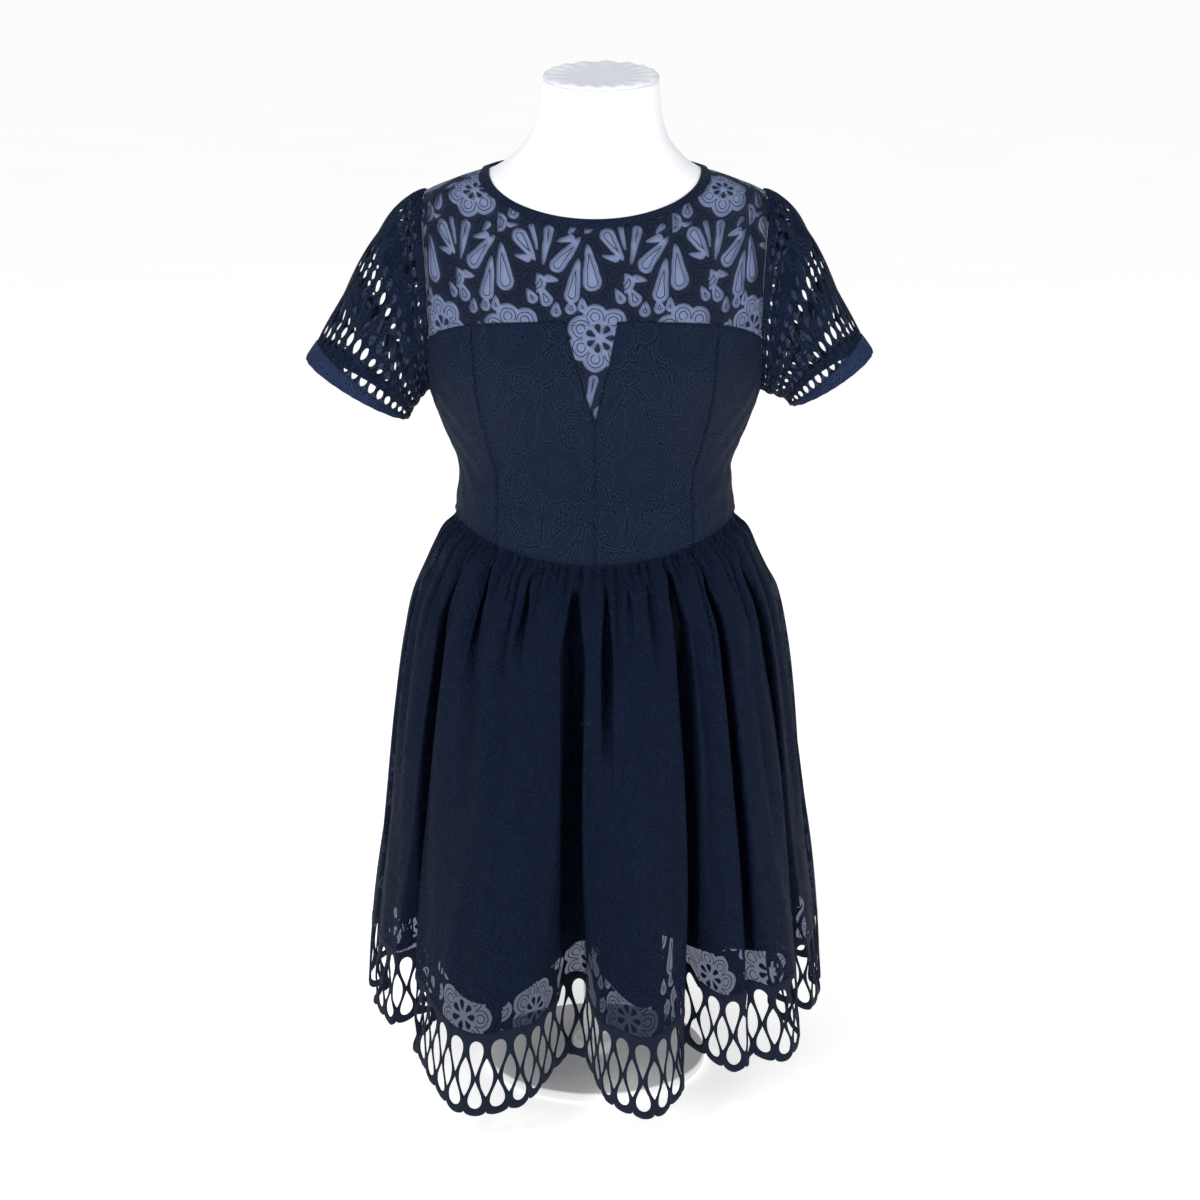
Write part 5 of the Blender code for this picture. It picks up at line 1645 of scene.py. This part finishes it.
class DRESS_OT_border(bpy.types.Operator):
    """Openwork border: corded bars that meet in pairs, and a scalloped edge"""

    bl_idname = "dress.border"
    bl_label = "Openwork border"

    def execute(self, context):
        shape = context.scene.dress_shape
        material = bpy.data.materials["satin-stitched cord"]
        tree = repeat_tree()
        for half, start, repeats in (("front", 0, FRONT_REPEATS), ("back", 1, BACK_REPEATS)):
            pitch = HALF_HEMS[start] / repeats
            cell = self.cell(pitch * 1000, shape.bar_height)
            values = {"Cell": cell, "Count": repeats, "Pitch": pitch, "Material": material}
            band = made_from_nodes(f"openwork_border_{half}", tree, values)
            bpy.data.objects.remove(cell)
            flat = in_metres(band.data)
            share = start + flat[:, 0] / (pitch * repeats)
            down = BORDER_SHARE + flat[:, 1] / SKIRT_LENGTH
            set_points(band.data, skirt_place(share, down, CLOTH * 0.6 + flat[:, 2]) + AXIS)
            set_cloth(band.data, flat * (1, -1, 0))
            place_piece(
                band, f"hem_border_{half}", flat=(pitch * repeats, BORDER_HEIGHT),
                layers=2,
            )
        return {"FINISHED"}

    def cell(self, pitch, bar_height):
        """One repeat as a closed cushioned wall: X across and Y down in metres, Z its thickness."""
        upper, lower, left = hole(pitch, *UPPER_HOLE), hole(pitch, *LOWER_HOLE), spindle(pitch)
        right = [(pitch - x, y) for x, y in left]
        arc = [PI * k / 14 for k in range(15)]
        scallop = [
            (pitch * (0.5 + 0.5 * math.cos(a)), SCALLOP_NOTCH + SCALLOP_DROP * math.sin(a)) for a in arc
        ]
        top = [(pitch * k / 10, 0.0) for k in range(11)]
        outline = top + [(pitch, y) for y in UPPER_JOIN] + right + [(pitch, y) for y in LOWER_JOIN] + scallop
        outline += [(0.0, y) for y in LOWER_JOIN[::-1]] + left[::-1] + [(0.0, y) for y in UPPER_JOIN[::-1]]
        loops = [outline, upper, lower]
        # The wall's free edges, where it is rounded off. Its joins to the next repeat stay thick.
        free = [np.array(path) for path in (upper + upper[:1], lower + lower[:1], left, right, scallop, top)]
        shares = np.linspace(0, 1, EDGE_SAMPLES + 1)[:, None]
        samples = np.concatenate([mix(a, b, shares) for path in free for a, b in zip(path, path[1:])])

        def to_edge(places):
            return np.min(np.linalg.norm(np.asarray(places)[:, None] - samples, axis=-1), axis=1)

        grid = [
            (pitch * (column + line % 2 / 2 + 0.25) / GRID_COLUMNS, GRID_STEP * (line + 0.5))
            for line in range(GRID_LINES)
            for column in range(GRID_COLUMNS)
        ]
        clear = to_edge(grid) > GRID_CLEAR
        places = [place for place, kept in zip(grid, clear) if kept and is_solid(loops, *place)]
        flat, faces = filled(loops, places)
        off = to_edge(flat)
        off[off < 1e-3] = 0
        height = bar_height / 2 * np.sqrt(1 - (1 - np.clip(off / BAR_ROUNDING, 0, 1)) ** 2)
        points = np.concatenate([np.column_stack([flat / 1000, side * height]) for side in (1, -1)])
        walls = [face[::-1] for face in faces] + [tuple(len(flat) + i for i in face) for face in faces]
        made = bare_object("border cell", points.tolist(), [], walls)
        clean = bmesh.new()
        clean.from_mesh(made.data)
        bmesh.ops.remove_doubles(clean, verts=clean.verts, dist=1e-6)
        bmesh.ops.delete(clean, geom=[v for v in clean.verts if not v.link_faces], context="VERTS")
        clean.to_mesh(made.data)
        clean.free()
        return made


# ---------------------------------------------------------------- stitches

STITCH_STEP = 1.35  # from one stitch to the next, in stitch lengths
# Places along a stitch, and its width there as a share of its full width.
STITCH_RINGS = ((-0.5, 0.25), (-0.38, 0.8), (0.0, 1.0), (0.38, 0.8), (0.5, 0.25))
STITCH_SIDES, STITCH_OUT = 6, 0.0009


def stitch_tree():
    """Copies of a stitch at even steps along paths, each turned to run along its path."""
    inputs = {"Path": "Object", "Stitch": "Object", "Step": "Float", "Material": "Material"}
    tree, given, ends = geometry_tree("stitches along a path", inputs)
    path = add(tree, "GeometryNodeObjectInfo", given["Path"], out=4)
    path = add(tree, "GeometryNodeMeshToCurve", path)
    places = add(tree, "GeometryNodeCurveToPoints", path, named={"Length": given["Step"]}, mode="LENGTH")
    turned = {"Rotation": places.node.outputs["Rotation"]}
    stitch = add(tree, "GeometryNodeObjectInfo", given["Stitch"], out=4)
    copies = add(tree, "GeometryNodeInstanceOnPoints", places, None, stitch, named=turned)
    joined = add(tree, "GeometryNodeRealizeInstances", copies)
    joined = add(tree, "GeometryNodeSetMaterial", joined, None, given["Material"])
    tree.links.new(joined, ends.inputs[0])
    return tree


class DRESS_OT_stitches(bpy.types.Operator):
    """Rows of stitches beside the seams, the binding and the cuffs"""

    bl_idname = "dress.stitches"
    bl_label = "Stitches"

    def execute(self, context):
        shape = context.scene.dress_shape
        stitch = self.stitch(shape.stitch_length, shape.stitch_width / 2)
        points, edges = [], []
        for path in self.paths():
            edges += [(len(points) + k, len(points) + k + 1) for k in range(len(path) - 1)]
            points += (path + AXIS).tolist()
        rows = bare_object("rows of stitches", points, edges, [])
        values = {
            "Path": rows,
            "Stitch": stitch,
            "Step": shape.stitch_length * STITCH_STEP,
            "Material": bpy.data.materials["satin-stitched cord"],
        }
        made = made_from_nodes("thread_stitches", stitch_tree(), values)
        bpy.data.objects.remove(rows)
        bpy.data.objects.remove(stitch)
        set_cloth(made.data, in_metres(made.data))
        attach(made, "root")
        return {"FINISHED"}

    def stitch(self, length, radius):
        """A short strand along Z that narrows to its ends."""
        turns = np.linspace(0, 2 * PI, STITCH_SIDES, endpoint=False)
        points = [
            (radius * wide * math.cos(turn), radius * wide * math.sin(turn), at * length)
            for at, wide in STITCH_RINGS
            for turn in turns
        ]
        return bare_object("stitch", points, [], lidded_faces(len(STITCH_RINGS), STITCH_SIDES))

    def paths(self):
        """Lines just above the cloth, along each row."""
        out = CLOTH + STITCH_OUT
        round_it = np.linspace(-PI, PI, 400)
        yield body_place(round_it, waist_line(round_it) + SEAM_RIDGE, np.full(400, out))
        for middle, reach in ((0.0, armhole(YOKE_ARM)[0]), (PI, PI - armhole(YOKE_ARM, True)[0])):
            turns = middle + np.linspace(-reach, reach, 200) * 0.98
            yield body_place(turns, yoke_line(turns) - SEAM_RIDGE, np.full(200, out))
        turn, height = neckline(np.linspace(-PI + 0.01, PI - 0.01, 400), BINDING * 0.84)
        yield body_place(turn, height, np.full(400, 0.0029))
        for _, side, *cuff in SLEEVES:
            surface = sleeve_surface(side, *cuff)
            angles = np.linspace(0, 2 * PI, 200)
            points, normals = outside(surface, side, angles, np.full(200, CUFF_START + 0.010))
            yield points + normals * 0.0010


# ---------------------------------------------------------------- stage


CAMERA_PLACE, CAMERA_TILT = (0.005, -2.7, 1.234), math.radians(75)  # from the form's axis, 15 degrees down
FLOOR_HALF, FLOOR_TONE = 60.0, 1.5  # its half size in metres, and tones of 0.7 m
KEY_LAMP, FILL_LAMP = (1.6, (-1.5, -2.6, 2.6)), (1.8, (1.9, -2.2, 1.7))  # size and place
LIT_PLACE = (0, 0, 0.62)


class DRESS_OT_stage(bpy.types.Operator):
    """Pale floor, soft lamps and the camera"""

    bl_idname = "dress.stage"
    bl_label = "Stage"

    def execute(self, context):
        stage = context.scene.dress_stage
        scene = context.scene
        camera = linked_object("camera", bpy.data.cameras.new("camera"))
        camera.data.lens = stage.lens
        camera.data.sensor_width = 36
        camera.location = Vector(CAMERA_PLACE) + Vector(AXIS)
        camera.rotation_euler = (CAMERA_TILT, 0, 0)
        scene.camera = camera
        made, tree = new_material("pale floor")
        place = add(tree, "TexCoord", out=3)
        tone = add(tree, "TexNoise", place, FLOOR_TONE, 2.0)
        base = add(tree, "MixRGB", tone, (*stage.floor, 1), (*stage.floor_shade, 1))
        skin = {"Base Color": base, "Roughness": 0.9, "Specular IOR Level": 0.0}
        skin.update({"Emission Color": (1, 1, 1, 1), "Emission Strength": stage.floor_glow})
        add(tree, "OutputMaterial", add(tree, "BsdfPrincipled", named=skin))
        corners = [(x * FLOOR_HALF, y * FLOOR_HALF, 0) for x, y in ((-1, -1), (1, -1), (1, 1), (-1, 1))]
        floor = bare_object("floor", corners, [], [(0, 1, 2, 3)])
        floor.data.materials.append(made)
        world = bpy.data.worlds.new("studio")
        world.use_nodes = True
        sky = world.node_tree.nodes["Background"]
        sky.inputs["Color"].default_value = (1, 1, 1, 1)
        sky.inputs["Strength"].default_value = stage.sky
        scene.world = world
        for name, watts, size, place in (
            ("key lamp", stage.key, *KEY_LAMP),
            ("fill lamp", stage.fill, *FILL_LAMP),
        ):
            lamp = linked_object(name, bpy.data.lights.new(name, "AREA"))
            lamp.data.shape = "DISK"
            lamp.data.size = size
            lamp.data.energy = watts
            lamp.location = place
            lamp.rotation_euler = (Vector(LIT_PLACE) - lamp.location).to_track_quat("-Z", "Y").to_euler()
        scene.view_settings.view_transform = "Standard"
        return {"FINISHED"}


# Where the middle of a blossom lies on each flat cloth, and the light through the sleeves' ground.
BODICE_ORIGIN, SLEEVE_ORIGIN, SKIRT_ORIGIN = (0.005, -0.016), (0.02, -0.05), (0.0, -0.002)
SLEEVE_PORES = 0.1


class DRESS_OT_cloths(bpy.types.Operator):
    """Materials of the dress"""

    bl_idname = "dress.cloths"
    bl_label = "Cloths"

    def execute(self, context):
        cloth = context.scene.dress_cloth
        pattern = lace_pattern()
        bodice = (cloth.bodice_dark, cloth.bodice_light)
        yoke = (cloth.yoke_dark, cloth.yoke_light)
        skirt = (cloth.skirt_dark, cloth.skirt_light)
        cuff = (cloth.cuff_dark, cloth.cuff_light)
        part_sheer, less_sheer = cloth.sheer * 0.4, cloth.sheer * 0.33
        for name, origin, shades, window, sheer, pores in (
            ("lined", BODICE_ORIGIN, bodice, cloth.bodice_window, 0.0, 0.0),
            ("sheer", BODICE_ORIGIN, yoke, cloth.organza, cloth.sheer, cloth.pores),
            ("sleeve", SLEEVE_ORIGIN, bodice, cloth.skirt_window, part_sheer, SLEEVE_PORES),
            ("skirt", SKIRT_ORIGIN, skirt, cloth.skirt_window, less_sheer, 0.0),
            ("folded", BODICE_ORIGIN, cuff, cloth.cuff_window, 0.0, 0.0),
        ):
            name += " embroidered organza"
            lace_material(name, pattern, cloth, origin, shades, window, sheer, pores)
        cord_material("satin-stitched cord", cloth)
        return {"FINISHED"}


OPERATORS = (
    DRESS_OT_stage,
    DRESS_OT_cloths,
    DRESS_OT_form,
    DRESS_OT_stand,
    DRESS_OT_bodice,
    DRESS_OT_yoke,
    DRESS_OT_sleeves,
    DRESS_OT_lining,
    DRESS_OT_skirt,
    DRESS_OT_border,
    DRESS_OT_stitches,
)
GROUPS = (
    ("dress_cloth", DressCloth),
    ("dress_shape", DressShape),
    ("dress_stand", DressStand),
    ("dress_stage", DressStage),
)


class DRESS_PT_panel(bpy.types.Panel):
    """Settings of the dress, and a button for each group of pieces"""

    bl_label = "Cocktail dress"
    bl_idname = "DRESS_PT_panel"
    bl_space_type = "VIEW_3D"
    bl_region_type = "UI"
    bl_category = "Dress"

    def draw(self, context):
        for name, group in GROUPS:
            box = self.layout.box()
            for setting in group.__annotations__:
                box.prop(getattr(context.scene, name), setting)
        for operator in OPERATORS:
            self.layout.operator(operator.bl_idname)


def register():
    for name, group in GROUPS:
        bpy.utils.register_class(group)
        setattr(bpy.types.Scene, name, bpy.props.PointerProperty(type=group))
    for operator in OPERATORS:
        bpy.utils.register_class(operator)
    bpy.utils.register_class(DRESS_PT_panel)


def unregister():
    bpy.utils.unregister_class(DRESS_PT_panel)
    for operator in reversed(OPERATORS):
        bpy.utils.unregister_class(operator)
    for name, group in reversed(GROUPS):
        delattr(bpy.types.Scene, name)
        bpy.utils.unregister_class(group)


def main():
    register()
    for operator in OPERATORS:
        family, name = operator.bl_idname.split(".")
        getattr(getattr(bpy.ops, family), name)()


if __name__ == "__main__":
    main()
